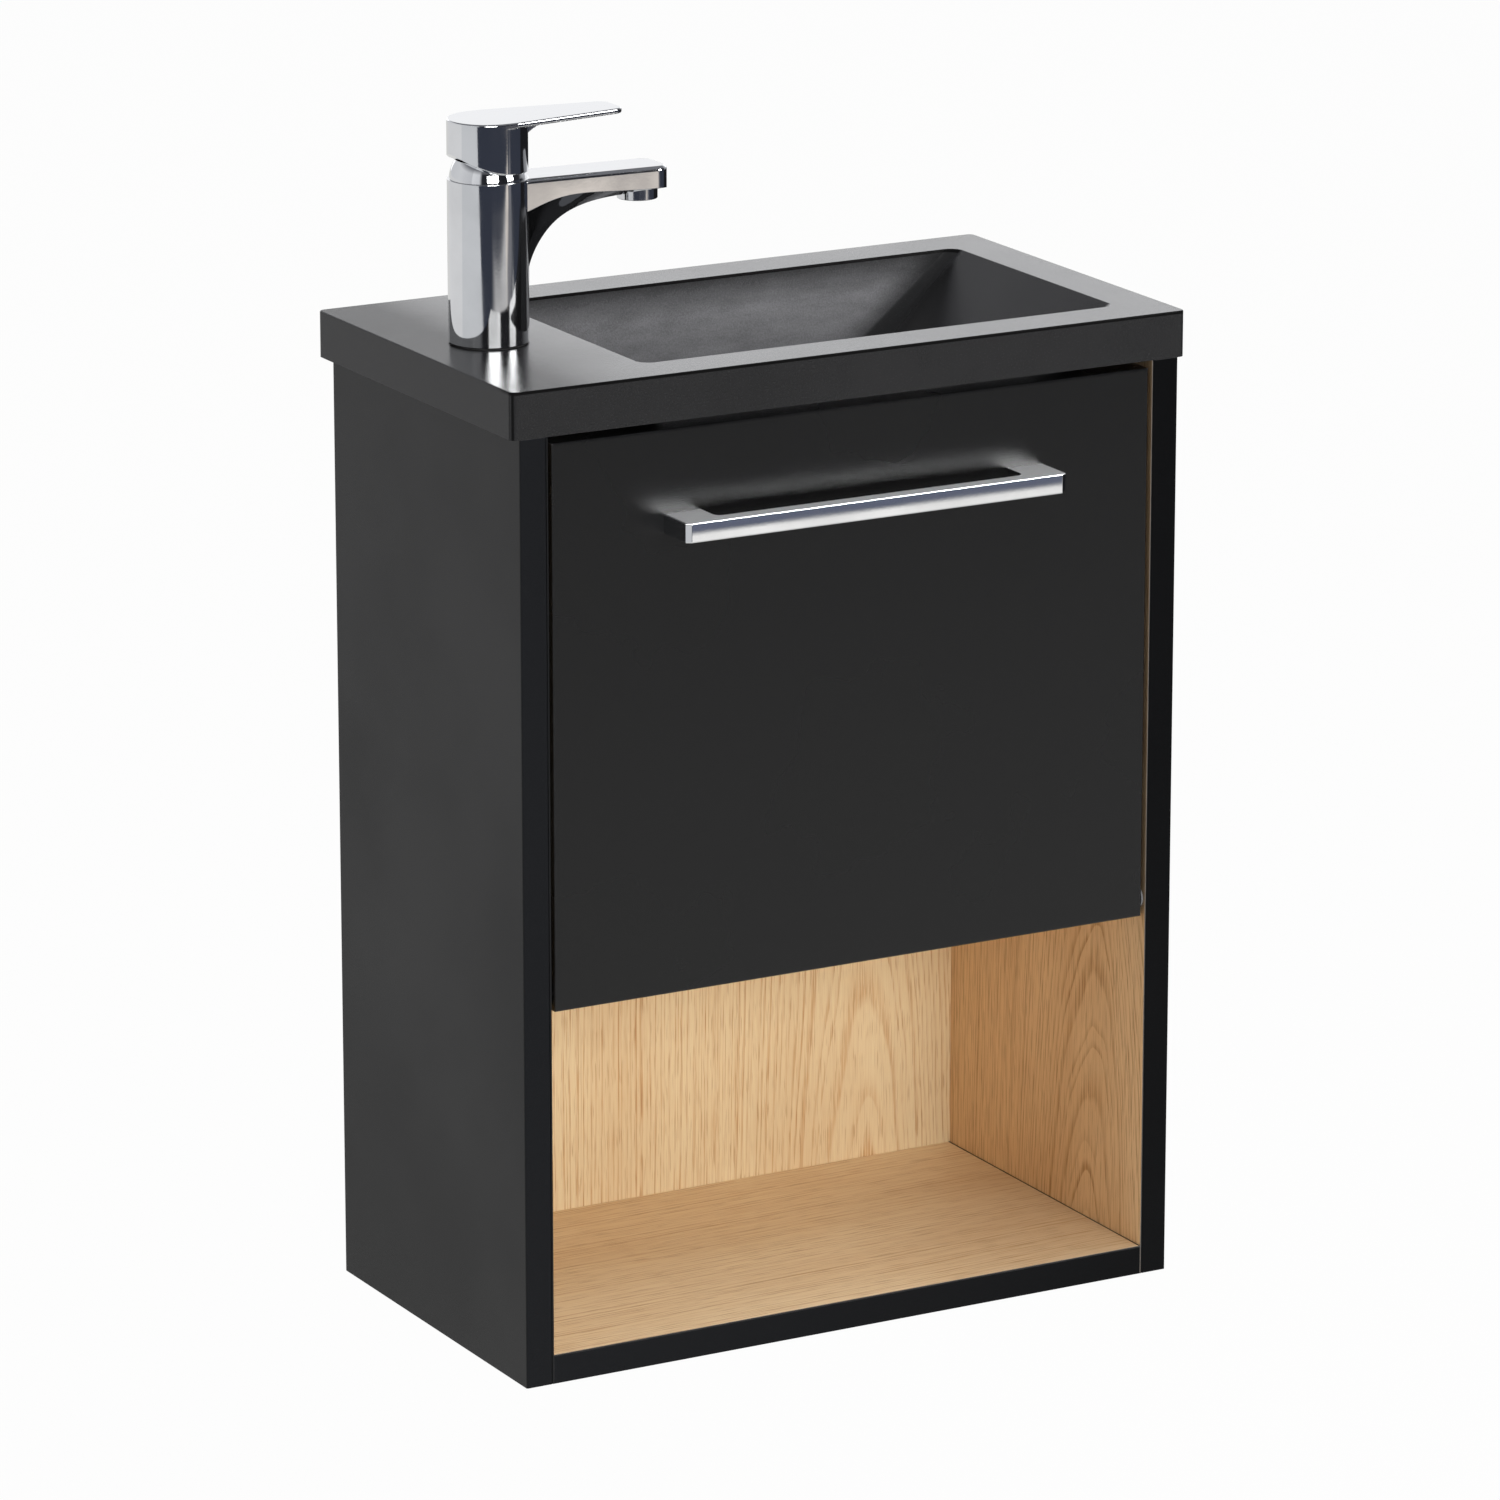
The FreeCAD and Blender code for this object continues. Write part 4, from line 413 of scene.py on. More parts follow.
def black_film(name, dark, pale, rough_low, rough_high, ior, edge_width):
    """Pearl-pressed black film between two tones."""
    material, tree, shader, position = start_finish(name, {"IOR": ior})
    surface = surface_of(tree, position, cloud_scale=7.0, grit_scale=1400.0)
    edges = edges_of(tree, position, edge_width)
    tone = blend(tree, surface["Clouds"], (*dark, 1), (*pale, 1))
    film = blend(tree, spread(tree, surface["Grit"], 0.0, 0.25), tone, PEARL_TONE)
    feed(tree, shader, {"Roughness": spread(tree, surface["Clouds"], rough_low, rough_high)})
    emboss(tree, shader, surface["Height"], strength=0.2, distance=0.0003, normal=edges["Normal"])
    return material, tree, shader, position, film, edges["Mask"]


flap_film, tree, shader, position, film, edge_mask = black_film(
    "black_flap_film", dark=(0.0024, 0.0024, 0.0025), pale=(0.0036, 0.0036, 0.0038),
    rough_low=0.24, rough_high=0.30, ior=1.47, edge_width=0.0015)
feed(tree, shader, {"Base Color": blend(tree, edge_mask, film, FLAP_EDGE_HIGHLIGHT)})
dress(flap_film, "flap_panel")

board_film, tree, shader, position, film, edge_mask = black_film(
    "black_board_film", dark=(0.0065, 0.0065, 0.0066), pale=(0.0085, 0.0085, 0.0086),
    rough_low=0.42, rough_high=0.5, ior=1.36, edge_width=0.0008)
front = compute(tree, "LESS_THAN", way_faced(tree)["Y"], FRONT_FACING)
to_right = ramp(tree, split(tree, position)["X"], solids_low.x, solids_high.x)
# Painted light: the edging runs from lighter on the left to darker on the right.
edging = blend(tree, to_right, LIT_EDGING_LEFT, SHADED_EDGING_RIGHT)
edged = blend(tree, front, film, edging)
feed(tree, shader, {"Base Color": blend(tree, edge_mask, edged, BOARD_WEAR_AND_HIGHLIGHT),
                    "Specular IOR Level": spread(tree, front, 0.5, 0.26)})
dress(board_film, "left_side_panel", "right_side_panel", "bottom_panel")

# %% [markdown]
# The lining is oak decor. In a plain-sawn board the saw cuts the tree's rings
# at a slant, so they show as pointed arches in the middle and straight lines at
# the sides. We build that tree: rings are distances from a slanting pith, bent
# by noise. Good and bad years make wide and narrow, strong and faint rings.
# Pores are short dark dashes along the grain, most of them in the early wood at
# the start of each ring.

# %% Group: sawn wood
SWAY = 0.014
YEAR_SPREAD = 2.4

wood, given, wood_end = start_group(
    "Sawn Wood",
    [("Along Grain", "Vector", (0.0, 0.0, 0.0)), ("Pith Place", "Float", 0.0),
     ("Pith Depth", "Float", 0.03), ("Pith Slant", "Float", 0.2), ("Ring Width", "Float", 0.004),
     ("Pale Wood", "Color", (0.8, 0.6, 0.3, 1)), ("Early Wood", "Color", (0.6, 0.4, 0.2, 1)),
     ("Pores", "Color", (0.3, 0.2, 0.1, 1))],
    [("Color", "Color"), ("Roughness", "Float"), ("Height", "Float")])
along_grain = given["Along Grain"]
stretched = stretch(wood, along_grain, (1.0, 1.0, 0.22))
sway = spread(wood, noise(wood, stretched, scale=9.0, detail=3.0), -SWAY, SWAY)
grain_place = split(wood, along_grain)
across = compute(wood, "SUBTRACT", grain_place["X"], given["Pith Place"])
bent = compute(wood, "ADD", across, sway)
slope = compute(wood, "MULTIPLY_ADD", grain_place["Z"], given["Pith Slant"], given["Pith Depth"])
deep = compute(wood, "ADD", slope, sway)
from_pith = place(wood, "CombineXYZ", {"X": bent, "Y": deep}).outputs["Vector"]
radius = place(wood, "VectorMath", {0: from_pith}, operation="LENGTH").outputs["Value"]
even_rings = compute(wood, "DIVIDE", radius, given["Ring Width"])
years = place(wood, "TexNoise", {"W": even_rings, "Scale": 0.35, "Detail": 1.0},
              noise_dimensions="1D").outputs["Fac"]
rings = compute(wood, "MULTIPLY_ADD", years, YEAR_SPREAD, even_rings)
phase = compute(wood, "FRACT", rings)
year = compute(wood, "FLOOR", rings)
vigour = place(wood, "TexWhiteNoise", {"W": year}, noise_dimensions="1D").outputs["Value"]
strength = spread(wood, vigour, 0.3, 1.0)
early = ramp(wood, phase, 0.55, 0.05, shape="SMOOTHSTEP")
fade_in = ramp(wood, phase, 0.0, 0.06)
ring_start = compute(wood, "MULTIPLY", early, fade_in)
early_wood = compute(wood, "MULTIPLY", ring_start, strength)
print("rings made in", wood.name)

# %% [markdown]
# Fibre and pores come from noise that is stretched along the grain: fine across
# and long along it. A threshold turns it into dashes. The three tones are then
# laid over each other, and the same masks give the film its shallow relief.

# %% Group: pores and tones of sawn wood
FIBRE_SCALE = (1100.0, 1100.0, 28.0)
PORE_SCALE = (1700.0, 1700.0, 45.0)

fibre = noise(wood, stretch(wood, along_grain, FIBRE_SCALE), scale=1.0, detail=2.0)
pore_noise = noise(wood, stretch(wood, along_grain, PORE_SCALE), scale=1.0, detail=1.0)
pore_level = spread(wood, early_wood, 0.60, 0.46)
above = compute(wood, "SUBTRACT", pore_noise, pore_level)
pores = ramp(wood, above, 0.0, 0.08, high=0.45)
drift = ramp(wood, noise(wood, stretched, scale=16.0, detail=2.0), 0.3, 0.7, high=0.30)
breaks = ramp(wood, fibre, 0.35, 0.65, low=0.15)
ring_mask = compute(wood, "MULTIPLY", early_wood, breaks)
mild = compute(wood, "ADD", ring_mask, drift)
fibre_mask = ramp(wood, fibre, 0.3, 0.7, -0.12, 0.12)
tone_mask = compute(wood, "ADD", mild, fibre_mask, clamp=True)
tone = blend(wood, tone_mask, given["Pale Wood"], given["Early Wood"])
feed(wood, wood_end, {"Color": blend(wood, pores, tone, given["Pores"]),
                      "Roughness": spread(wood, pores, 0.42, 0.6),
                      "Height": compute(wood, "SUBTRACT", 1.0, pores)})
print("group made:", wood.name)

# %% [markdown]
# Each oak board is turned so that the grain runs along it, with its own pith.
# The niche's back is the palest, with a broad figure right of its middle. The
# side linings are cut nearer to the pith and show pointed arches. The right
# lining's tones are darker, as painted shade, and the bottom's lighter, as
# painted light. The front ends of the linings are covered by the black edging.
# On the right and below, the raw rim of the film leaves a dull hairline between
# oak and black. A dark joint shows where the bottom meets the right side, and
# shade is painted on the board near it, less at the rear. In the slots beside
# the flap, the oak is painted darker, as shade.

# %% Finish: oak decor
EDGING = (0.0045, 0.005, 0.006, 1)
JOINT_SHADOW = 0.0011
SHADE_REACH = (0.16, 0.03)
SHADE_REAR = (-0.02, -0.10)
GAP_SHADE_BELOW, GAP_SHADE_ABOVE = 0.004, 0.010
OUTWARD_FACING = 0.7
flap_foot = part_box("flap_panel")[0].z


def with_joint_and_shade(tree, colour, spot, joint_at):
    """Oak with painted shade near a joint, with the joint's dark line."""
    # Painted shade: the oak darkens towards the joint, less at the rear.
    painted_shade = ramp(tree, spot["X"], joint_at - SHADE_REACH[0], joint_at - SHADE_REACH[1], high=0.30)
    off_rear = ramp(tree, spot["Y"], *SHADE_REAR)
    shaded = blend(tree, compute(tree, "MULTIPLY", painted_shade, off_rear), colour, shade("8A6238"))
    seam = compute(tree, "GREATER_THAN", spot["X"], joint_at - JOINT_SHADOW)
    return blend(tree, seam, shaded, shade("2A1E14"))


def with_edging(tree, colour, spot, axis, inner, outwards, line_width):
    """Oak with painted shade beside the flap, a black outside and black front ends."""
    # Painted shade: the oak behind the flap's foot is darkened.
    gap_shade = ramp(tree, spot["Z"], flap_foot - GAP_SHADE_BELOW, flap_foot + GAP_SHADE_ABOVE, high=0.62)
    colour = blend(tree, gap_shade, colour, shade("2A2019"))
    facing = way_faced(tree)
    turned_out = compute(tree, "MULTIPLY", facing[axis], outwards)
    outer = compute(tree, "GREATER_THAN", turned_out, OUTWARD_FACING)
    colour = blend(tree, outer, colour, EDGING)
    depth = compute(tree, "SUBTRACT", spot[axis], inner)
    beyond = compute(tree, "MULTIPLY", depth, outwards)
    hairline = compute(tree, "LESS_THAN", beyond, line_width)
    edging = blend(tree, hairline, EDGING, shade("6E665F"))
    front = compute(tree, "LESS_THAN", facing["Y"], FRONT_FACING)
    return blend(tree, front, colour, edging)


def oak(name, turn, pith, colours, edges_at=None, joint_at=None):
    """Oak film; turn brings the grain upright, pith is its place, depth, slant and ring width."""
    material, tree, shader, position = start_finish(name, {"IOR": 1.45})
    turned = place(tree, "Mapping", {"Vector": position, "Rotation": turn}).outputs["Vector"]
    pith_place, pith_depth, pith_slant, ring_width = pith
    pale, early, pores = [shade(code) for code in colours]
    grain = place(tree, "Group", {"Along Grain": turned, "Pith Place": pith_place,
                                  "Pith Depth": pith_depth, "Pith Slant": pith_slant,
                                  "Ring Width": ring_width, "Pale Wood": pale,
                                  "Early Wood": early, "Pores": pores}, node_tree=wood).outputs
    edges = edges_of(tree, position, width=0.0006)
    wear = spread(tree, edges["Mask"], 0.0, 0.4)
    colour = blend(tree, wear, grain["Color"], shade("D8CBB4"))
    spot = split(tree, position)
    if joint_at is not None:
        colour = with_joint_and_shade(tree, colour, spot, joint_at)
    if edges_at is not None:
        colour = with_edging(tree, colour, spot, *edges_at)
    feed(tree, shader, {"Base Color": colour, "Roughness": grain["Roughness"]})
    emboss(tree, shader, grain["Height"], strength=0.25, distance=0.0001, normal=edges["Normal"])
    return material


UPRIGHT = (0.0, 0.0, 0.0)
UPRIGHT_SIDE = (0.0, 0.0, math.pi / 2)
LEVEL_ALONG_X = (-math.pi / 2, -math.pi / 2, 0.0)
UPRIGHT_ALONG_X = (0.0, math.pi / 2, 0.0)
FRONT_OAK = ("F0DBB2", "CFA06C", "B07C4A")
# Darker copy of the oak for the right lining: painted shade.
SHADED_RIGHT_OAK = ("EBCBA0", "B88856", "94683C")
# Paler copy of the oak for the bottom: painted light.
LIT_BOTTOM_OAK = ("F6E1BE", "D0A878", "A87E50")
BEECH = ("E0C19A", "CFA67A", "B58A60")
inner_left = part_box("left_lining")[1].x
inner_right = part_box("right_lining")[0].x
bottom_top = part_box("bottom_lining")[1].z
dress(oak("oak_back", UPRIGHT, (0.132, 0.075, 0.040, 0.0029), FRONT_OAK), "niche_back_panel")
dress(oak("oak_left", UPRIGHT_SIDE, (0.16, 0.03, 0.16, 0.0045), FRONT_OAK,
          ("X", inner_left, -1.0, 0.0)), "left_lining")
dress(oak("oak_right", UPRIGHT_SIDE, (0.182, 0.094, 0.10, 0.0025), SHADED_RIGHT_OAK,
          ("X", inner_right, 1.0, 0.0005)), "right_lining")
dress(oak("oak_bottom", LEVEL_ALONG_X, (0.25, 0.05, 0.12, 0.0030), LIT_BOTTOM_OAK,
          ("Z", bottom_top, -1.0, 0.0004), inner_right), "bottom_lining")
dress(oak("oak_shelf", LEVEL_ALONG_X, (0.25, 0.04, 0.10, 0.0040), FRONT_OAK), "fixed_shelf")
dress(oak("oak_rail", UPRIGHT_ALONG_X, (0.30, 0.04, 0.10, 0.0040), FRONT_OAK), "rear_rail")
dress(oak("beech", UPRIGHT_ALONG_X, (0.0, 0.02, 0.05, 0.003), BEECH), "dowels")

# %% [markdown]
# Chrome is a thin hard plate over brass or zinc. It has nearly no colour of its
# own, so the room in it makes the look. What gives it away as real is a faint
# unevenness: water marks and wiping change its roughness by a few hundredths.
# Dried water and dust lie on what faces up, so such faces give back less light.
# The handle is chrome too, but its top and upper arris are blasted to a dull
# grain. The normal tells all of these, since it points up.

# %% Finish: metals
CHROME_TONE = (0.86, 0.87, 0.88)
ZINC_TONE = (0.60, 0.61, 0.63)
BRASS_TONE = (0.76, 0.56, 0.28)
LEVEL_TOP = 0.9
SLIGHTLY_UP = 0.12
BLAST_SCALE = 1500.0


def toned(tone, factor):
    """Colour of a tone made darker or lighter."""
    return (*(min(1.0, part * factor) for part in tone), 1)


def blasted_top(tree, shader, position, smooth):
    """Blasts a metal where it faces up; gives its new roughness."""
    facing = way_faced(tree)
    top_face = compute(tree, "GREATER_THAN", facing["Z"], LEVEL_TOP)
    upward = compute(tree, "GREATER_THAN", facing["Z"], SLIGHTLY_UP)
    rough_top = spread(tree, noise(tree, position, BLAST_SCALE, detail=2.0), 0.25, 0.6)
    feed(tree, shader, {"Metallic": spread(tree, top_face, 1.0, 0.55)})
    return mix(tree, upward, smooth, rough_top)


def metal(name, tone, rough_low, rough_high, cloud, grit, bump_strength, dust=1.0, blasted=False):
    """Metal with cloudy roughness, fine grit, brighter edges and dusty or blasted tops."""
    material, tree, shader, position = start_finish(name, {"Metallic": 1.0})
    surface = surface_of(tree, position, cloud, grit)
    edges = edges_of(tree, position, width=0.0005)
    clean = blend(tree, surface["Clouds"], toned(tone, 1.0), toned(tone, 0.9))
    settled = ramp(tree, way_faced(tree)["Z"], 0.93, 0.98)
    base = blend(tree, settled, clean, toned(tone, dust))
    rough = spread(tree, surface["Clouds"], rough_low, rough_high)
    if blasted:
        rough = blasted_top(tree, shader, position, rough)
    feed(tree, shader, {"Base Color": blend(tree, edges["Mask"], base, toned(tone, 1.1)),
                        "Roughness": rough})
    emboss(tree, shader, surface["Height"], bump_strength, distance=0.0002, normal=edges["Normal"])
    return material


dress(metal("chrome", CHROME_TONE, rough_low=0.035, rough_high=0.075, cloud=30.0, grit=700.0,
            bump_strength=0.004, dust=0.46),
      "tap_body", "tap_collar", "tap_lever", "aerator_ring", "waste_body", "waste_plug")
dress(metal("handle_chrome", CHROME_TONE, rough_low=0.008, rough_high=0.016, cloud=30.0, grit=700.0,
            bump_strength=0.0005, blasted=True),
      "flap_handle")
dress(metal("zinc_steel", ZINC_TONE, rough_low=0.30, rough_high=0.46, cloud=90.0, grit=1500.0,
            bump_strength=0.06),
      "lever_pivot_pin", "lever_grub_screw", "tap_stud", "tap_steel_washer", "handle_screws",
      "pivot_pins", "stay_side_bracket", "stay_side_arm", "stay_flap_arm", "stay_flap_bracket",
      "flap_bracket_screws", "wall_rail", "hanger_brackets", "bracket_screws", "cam_bolts",
      "cam_locks")
dress(metal("brass", BRASS_TONE, rough_low=0.28, rough_high=0.42, cloud=80.0, grit=1200.0,
            bump_strength=0.06),
      "cartridge_ring", "lever_stem", "tap_stud_nut")

# %% [markdown]
# Plastics and rubber are moulded. Their skin has a slight orange peel, and the
# corners are a little paler where they rub. One maker serves all of them, since
# only the tone, the gloss and the grain size differ.

# %% Finish: moulded plastics and rubber
def moulded(name, tone, pale, rough_low, rough_high, grit, bump_strength):
    """Moulded skin with clouds, grit and pale rubbed corners."""
    material, tree, shader, position = start_finish(name, {"IOR": 1.5})
    surface = surface_of(tree, position, cloud_scale=25.0, grit_scale=grit)
    edges = edges_of(tree, position, width=0.0006)
    base = blend(tree, surface["Clouds"], shade(tone), shade(pale))
    rubbed = spread(tree, edges["Mask"], 0.0, 0.4)
    feed(tree, shader, {"Base Color": blend(tree, rubbed, base, shade("F2F2F0")),
                        "Roughness": spread(tree, surface["Grit"], rough_low, rough_high)})
    emboss(tree, shader, surface["Height"], bump_strength, distance=0.0002, normal=edges["Normal"])
    return material


dress(moulded("white_plastic", tone="E4E4E0", pale="EEEEEA", rough_low=0.30, rough_high=0.42,
              grit=500.0, bump_strength=0.08),
      "trap_inlet_nut", "trap_inlet_pipe", "trap_body", "trap_cup", "trap_outlet_nut",
      "trap_outlet_pipe", "waste_nut")
dress(moulded("grey_plastic", tone="77797C", pale="8A8C8F", rough_low=0.38, rough_high=0.52,
              grit=700.0, bump_strength=0.12),
      "aerator_insert", "cartridge_housing", "cartridge_rotor", "plug_guide", "pivot_bushes",
      "flap_stops", "wall_spacers")
dress(moulded("black_rubber", tone="1B1B1C", pale="252526", rough_low=0.62, rough_high=0.78,
              grit=900.0, bump_strength=0.2),
      "tap_base_seal", "tap_rubber_washer", "waste_seal", "waste_washer")
dress(moulded("index_plastic", tone="9CA0A6", pale="B4B8BD", rough_low=0.22, rough_high=0.32,
              grit=900.0, bump_strength=0.05),
      "lever_index_plug")
print("pieces without a finish:", sorted(set(nodes) - dressed))

# %% [markdown]
# The unit hangs over a pale floor, which catches its soft shadow and lights it
# from below. A backdrop that curves up behind would do as well, but the room is
# white to the camera anyway, so one flat sheet is enough.

# %% Floor
FLOOR_BELOW_UNIT = 0.30
FLOOR_HALF = 16.0

floor_mesh = bpy.data.meshes.new("paper_floor")
sheet = bmesh.new()
floor_height = solids_low.z - FLOOR_BELOW_UNIT
corners = [(-FLOOR_HALF, -FLOOR_HALF), (FLOOR_HALF, -FLOOR_HALF), (FLOOR_HALF, FLOOR_HALF),
           (-FLOOR_HALF, FLOOR_HALF)]
sheet.faces.new([sheet.verts.new((x, y, floor_height)) for x, y in corners])
sheet.to_mesh(floor_mesh)
sheet.free()
floor = bpy.data.objects.new("paper_floor", floor_mesh)
scene.collection.objects.link(floor)
print("floor at", round(floor_height, 3), "m")

# %% [markdown]
# Metal sees more of the studio than the camera does: white paper up to an edge
# in front and on the right, with a white batten and a bluish shade along it,
# grey boards further off, a pale desk, and a dark gap behind on the right. Those
# borders make the dark and light bands in the chrome. Modelling a studio would
# take many pieces. Each of these things is a soft-edged patch on the floor here.

# %% What metal sees on the floor
ENDLESS = 20.0
PAPER_FRONT = -3.119
PAPER_RIGHT = 3.0
PAPER_TONE = (0.70, 0.70, 0.69, 1)
PAPER_LEFT_TONE = (0.60, 0.61, 0.63, 1)
PAPER_REAR_LEFT_TONE = (0.70, 0.70, 0.71, 1)
BATTEN_TONE = (0.97, 0.955, 0.94, 1)
BARE_FLOOR_TONE = (0.036, 0.041, 0.058, 1)
BOARDS_TONE = (0.56, 0.55, 0.55, 1)
SIDE_BOARDS_TONE = (0.20, 0.20, 0.215, 1)
DESK_TONE = (0.77, 0.70, 0.64, 1)
SHADE_TONE = (0.125, 0.14, 0.20, 1)
GAP_TONE = (0.012, 0.012, 0.014, 1)

paper = bpy.data.materials.new("white_paper")
paper.use_nodes = True
tree = paper.node_tree
tree.nodes.clear()
spot = split(tree, place(tree, "TexCoord").outputs["Object"])


def between(axis, low, high, soft):
    """Mask that is 1 between two places on the floor, with soft ends."""
    rise = ramp(tree, spot[axis], low - soft, low + soft, shape="SMOOTHSTEP")
    fall = ramp(tree, spot[axis], high + soft, high - soft, shape="SMOOTHSTEP")
    return compute(tree, "MULTIPLY", rise, fall)


def patch(along_y, along_x):
    """Mask of a rectangle; along each axis it has two ends and their softness."""
    return compute(tree, "MULTIPLY", between("Y", *along_y), between("X", *along_x))


on_paper = patch((PAPER_FRONT, ENDLESS, 0.011), (-ENDLESS, PAPER_RIGHT, 0.08))
on_batten = patch((PAPER_FRONT, -2.98, 0.008), (1.0, 2.1, 0.1))
left_side = between("X", -ENDLESS, -0.9, 0.35)
rear_left = between("Y", 1.1, ENDLESS, 0.05)
paper_left = blend(tree, rear_left, PAPER_LEFT_TONE, PAPER_REAR_LEFT_TONE)
paper_tone = blend(tree, left_side, PAPER_TONE, paper_left)
paper_tone = blend(tree, on_batten, paper_tone, BATTEN_TONE)
far_floor = BARE_FLOOR_TONE
for tone, along_y, along_x in (
        (BOARDS_TONE, (-4.50, -3.55, 0.10), (-1.0, 2.1, 0.6)),
        (SIDE_BOARDS_TONE, (-4.15, -3.35, 0.2), (1.9, 3.05, 0.2)),
        (DESK_TONE, (-4.44, -4.06, 0.04), (1.65, 2.45, 0.05)),
        (SHADE_TONE, (-3.40, PAPER_FRONT, 0.02), (1.0, 2.1, 0.15))):
    far_floor = blend(tree, patch(along_y, along_x), far_floor, tone)
near_floor = blend(tree, on_paper, far_floor, paper_tone)
rear_gap = patch((-1.0, 4.2, 0.1), (1.45, ENDLESS, 0.1))
mirrored_floor = blend(tree, rear_gap, near_floor, GAP_TONE)
print("paper ends at y", PAPER_FRONT, "and x", PAPER_RIGHT)

# %% [markdown]
# The camera sees the floor mostly as white paper: its material gives camera rays
# a white glow and adds a little of the lit surface, which holds the shadow. Rays
# from mirrors get the patches. Seen from below, the sheet is clear, so that the
# unit's underside can be looked at too.

# %% Floor material
PAPER_GLOW = 0.965
PAPER_COLOUR = (0.86, 0.85, 0.83, 1)
WHITE = (1, 1, 1, 1)


def ray_kinds(tree):
    """Masks of rays from the camera and of rays from mirrors."""
    path = place(tree, "LightPath").outputs
    mirrored = compute(tree, "MAXIMUM", path["Is Glossy Ray"], path["Is Transmission Ray"])
    return path["Is Camera Ray"], mirrored


def either(tree, mask, first, second):
    """Shader between two others."""
    return place(tree, "MixShader", {0: mask, 1: first, 2: second}).outputs["Shader"]


from_camera, from_mirror = ray_kinds(tree)
mirror_look = place(tree, "Emission", {"Color": mirrored_floor, "Strength": 1.0}).outputs["Emission"]
lit = place(tree, "BsdfDiffuse", {"Color": PAPER_COLOUR}).outputs["BSDF"]
glow = place(tree, "Emission", {"Color": WHITE, "Strength": 1.0}).outputs["Emission"]
clear = place(tree, "BsdfTransparent").outputs["BSDF"]
underside = place(tree, "NewGeometry").outputs["Backfacing"]
paper_look = either(tree, compute(tree, "MULTIPLY", from_camera, PAPER_GLOW), lit, glow)
floor_look = either(tree, from_mirror, paper_look, mirror_look)
one_sided = either(tree, underside, floor_look, clear)
place(tree, "OutputMaterial", {"Surface": one_sided})
floor_mesh.materials.append(paper)
print("finish on the floor:", paper.name)

# %% [markdown]
# The room is the world shader. To the camera it is plain white. To the metal it
# is a studio: white at the rear and the left, dark in front, where the
# photographer stands, and grey overhead. The direction of a ray picks the tone,
# so reflections belong to the room and not to the camera. Diffuse light gets an
# even fill.

# %% Studio room
FILL_LEVEL = 0.42

room = bpy.data.worlds.new("studio")
scene.world = room
room.use_nodes = True
tree = room.node_tree
tree.nodes.clear()
direction = split(tree, place(tree, "TexCoord").outputs["Generated"])
bearing = compute(tree, "ARCTAN2", direction["X"], direction["Y"])
turns = ramp(tree, bearing, -math.pi, math.pi)
round_room = place(tree, "ValToRGB", {"Fac": turns})
print("world started")

# %% [markdown]
# A colour ramp holds the tones round the room. Bearing 0 is the wall behind the
# unit, a quarter turn is the right and minus a quarter the left, so the front,
# where the ramp starts and ends, is half a turn either way.

# %% Tones round the room
ROOM_TONES = [
    (-180, "26272B"), (-150, "202125"), (-136, "2A2B30"), (-128, "D2D3D7"), (-106, "DEDFE2"),
    (-104, "C6C7CB"), (-60, "D6D7DA"), (0, "D0D1D5"), (55, "D0D1D5"), (80, "A4A5A9"),
    (100, "2C2D31"), (150, "202125"), (180, "26272B")]
CEILING_TONE = "74757A"
CEILING_STARTS = (0.40, 0.60)

stops = round_room.color_ramp.elements
while len(stops) < len(ROOM_TONES):
    stops.new(0.5)
for stop, (bearing_angle, tone) in zip(stops, ROOM_TONES):
    stop.position = (bearing_angle + 180) / 360
    stop.color = shade(tone)
overhead = ramp(tree, direction["Z"], *CEILING_STARTS)
mirrored_room = blend(tree, overhead, round_room.outputs["Color"], shade(CEILING_TONE))


def background(colour, strength):
    """World shader of one colour."""
    return place(tree, "Background", {"Color": colour, "Strength": strength}).outputs["Background"]


from_camera, from_mirror = ray_kinds(tree)
light = either(tree, from_mirror, background(WHITE, FILL_LEVEL), background(mirrored_room, 1.0))
seen_room = either(tree, from_camera, light, background(WHITE, 1.0))
place(tree, "OutputWorld", {"Surface": seen_room})
print("room tones:", len(stops))

# %% [markdown]
# Soft boxes give the shape its shading. A low one in front sends light deep into
# the niche, and one overhead lights the top. Both are hidden from reflections,
# or the satin flap would glare. Two strips in front, one on either hand, are
# there for reflections only: they make the spots on the tap's shoulder and the
# thin lights on its rounded edges. Light linking lets them touch the chrome
# alone. The bright bars at the tap's foot come by way of the slab, which has
# weaker strips of its own in the same places: with the strong ones it would
# glare when seen from behind. A small lamp of the same kind lights the handle's
# top, which the flap mirrors. A wide screen behind the unit brightens the slab's
# skin.

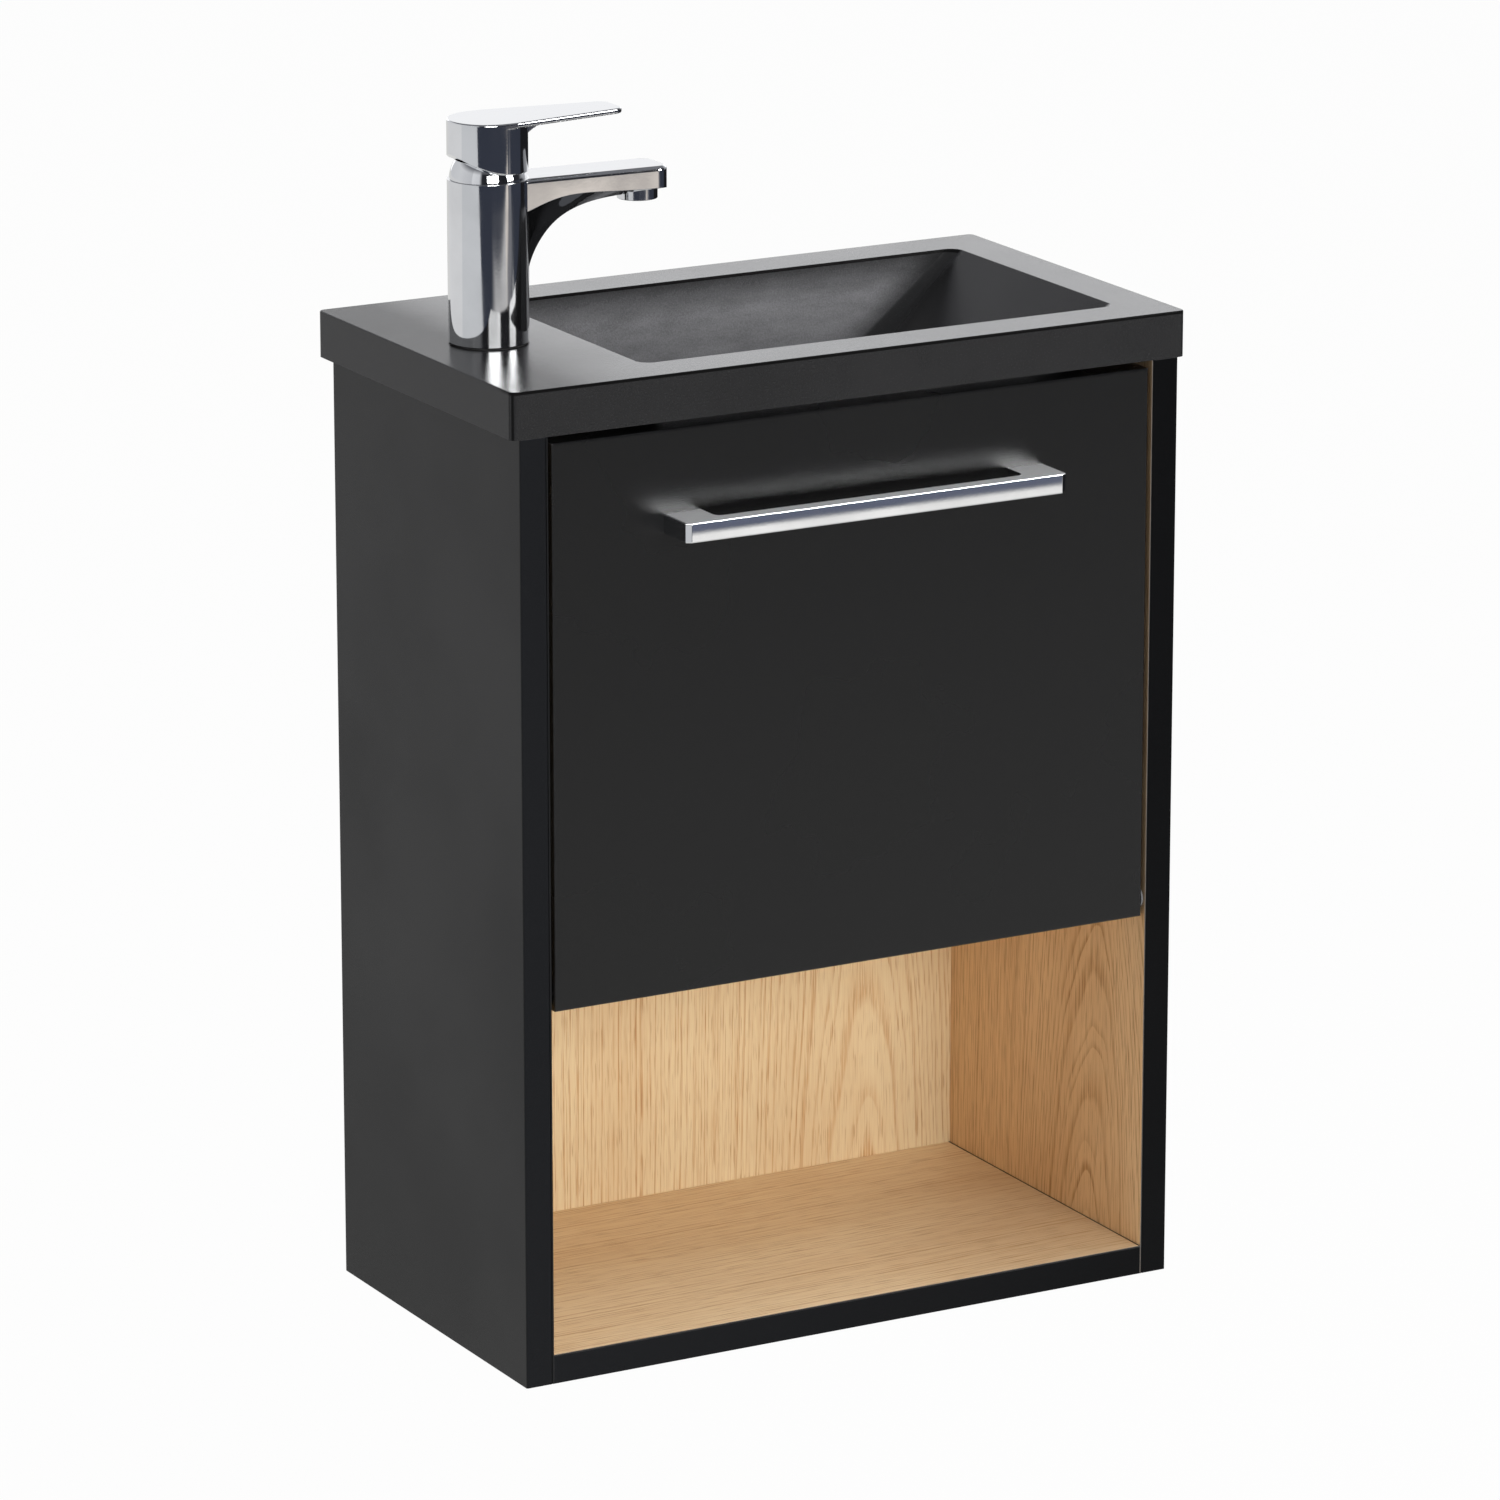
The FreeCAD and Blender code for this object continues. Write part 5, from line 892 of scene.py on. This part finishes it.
# %% Lamps
UNIT_MIDDLE = (0.0, -0.15, -0.25)
SLAB_MIDDLE = (0.0, -0.1, 0.0)
TAP_FOOT = (-0.15, -0.13, 0.07)
HANDLE_MIDDLE = (0.0, -0.26, -0.10)
CHROME_PIECES = ("tap_body", "tap_collar", "tap_lever", "aerator_ring", "flap_handle")


def soft_box(name, place_at, look_at, size, power, mirrored, only_on=()):
    """Area lamp aimed at a point; it lights surfaces, or is only mirrored in all or some pieces."""
    lamp = bpy.data.lights.new(name, "AREA")
    lamp.shape = "RECTANGLE"
    lamp.size, lamp.size_y = size
    lamp.energy = power
    holder = bpy.data.objects.new(name, lamp)
    holder.location = place_at
    aim = Vector(look_at) - Vector(place_at)
    holder.rotation_euler = aim.to_track_quat("-Z", "Y").to_euler()
    holder.visible_camera = False
    holder.visible_glossy = mirrored
    holder.visible_diffuse = not mirrored
    if only_on:
        receivers = bpy.data.collections.new(name + "_receivers")
        for piece in only_on:
            receivers.objects.link(nodes[piece])
        holder.light_linking.receiver_collection = receivers
    scene.collection.objects.link(holder)
    print("lamp:", name, power, "W")


soft_box("low_front_box", (0.10, -3.2, 0.45), UNIT_MIDDLE, (1.7, 1.4), power=56.0, mirrored=False)
soft_box("top_box", (0.2, -0.9, 2.6), SLAB_MIDDLE, (1.8, 1.8), power=24.0, mirrored=False)
for side, place_at, size, chrome_power, slab_power in (
        ("left", (-0.69, -2.78, 0.69), (1.6, 1.0), 58.0, 23.0),
        ("right", (1.66, -1.99, 0.67), (0.95, 1.0), 35.0, 10.0)):
    soft_box(side + "_strip", place_at, TAP_FOOT, size, chrome_power, mirrored=True,
             only_on=CHROME_PIECES)
    soft_box(side + "_slab_strip", place_at, TAP_FOOT, size, slab_power, mirrored=True,
             only_on=("basin",))
soft_box("handle_lamp", (0.485, -1.145, 0.15), HANDLE_MIDDLE, (0.6, 0.14), power=20.0,
         mirrored=True, only_on=("flap_handle",))
soft_box("rear_screen", (1.05, 2.2, 0.62), TAP_FOOT, (3.2, 1.3), power=10.5, mirrored=True)
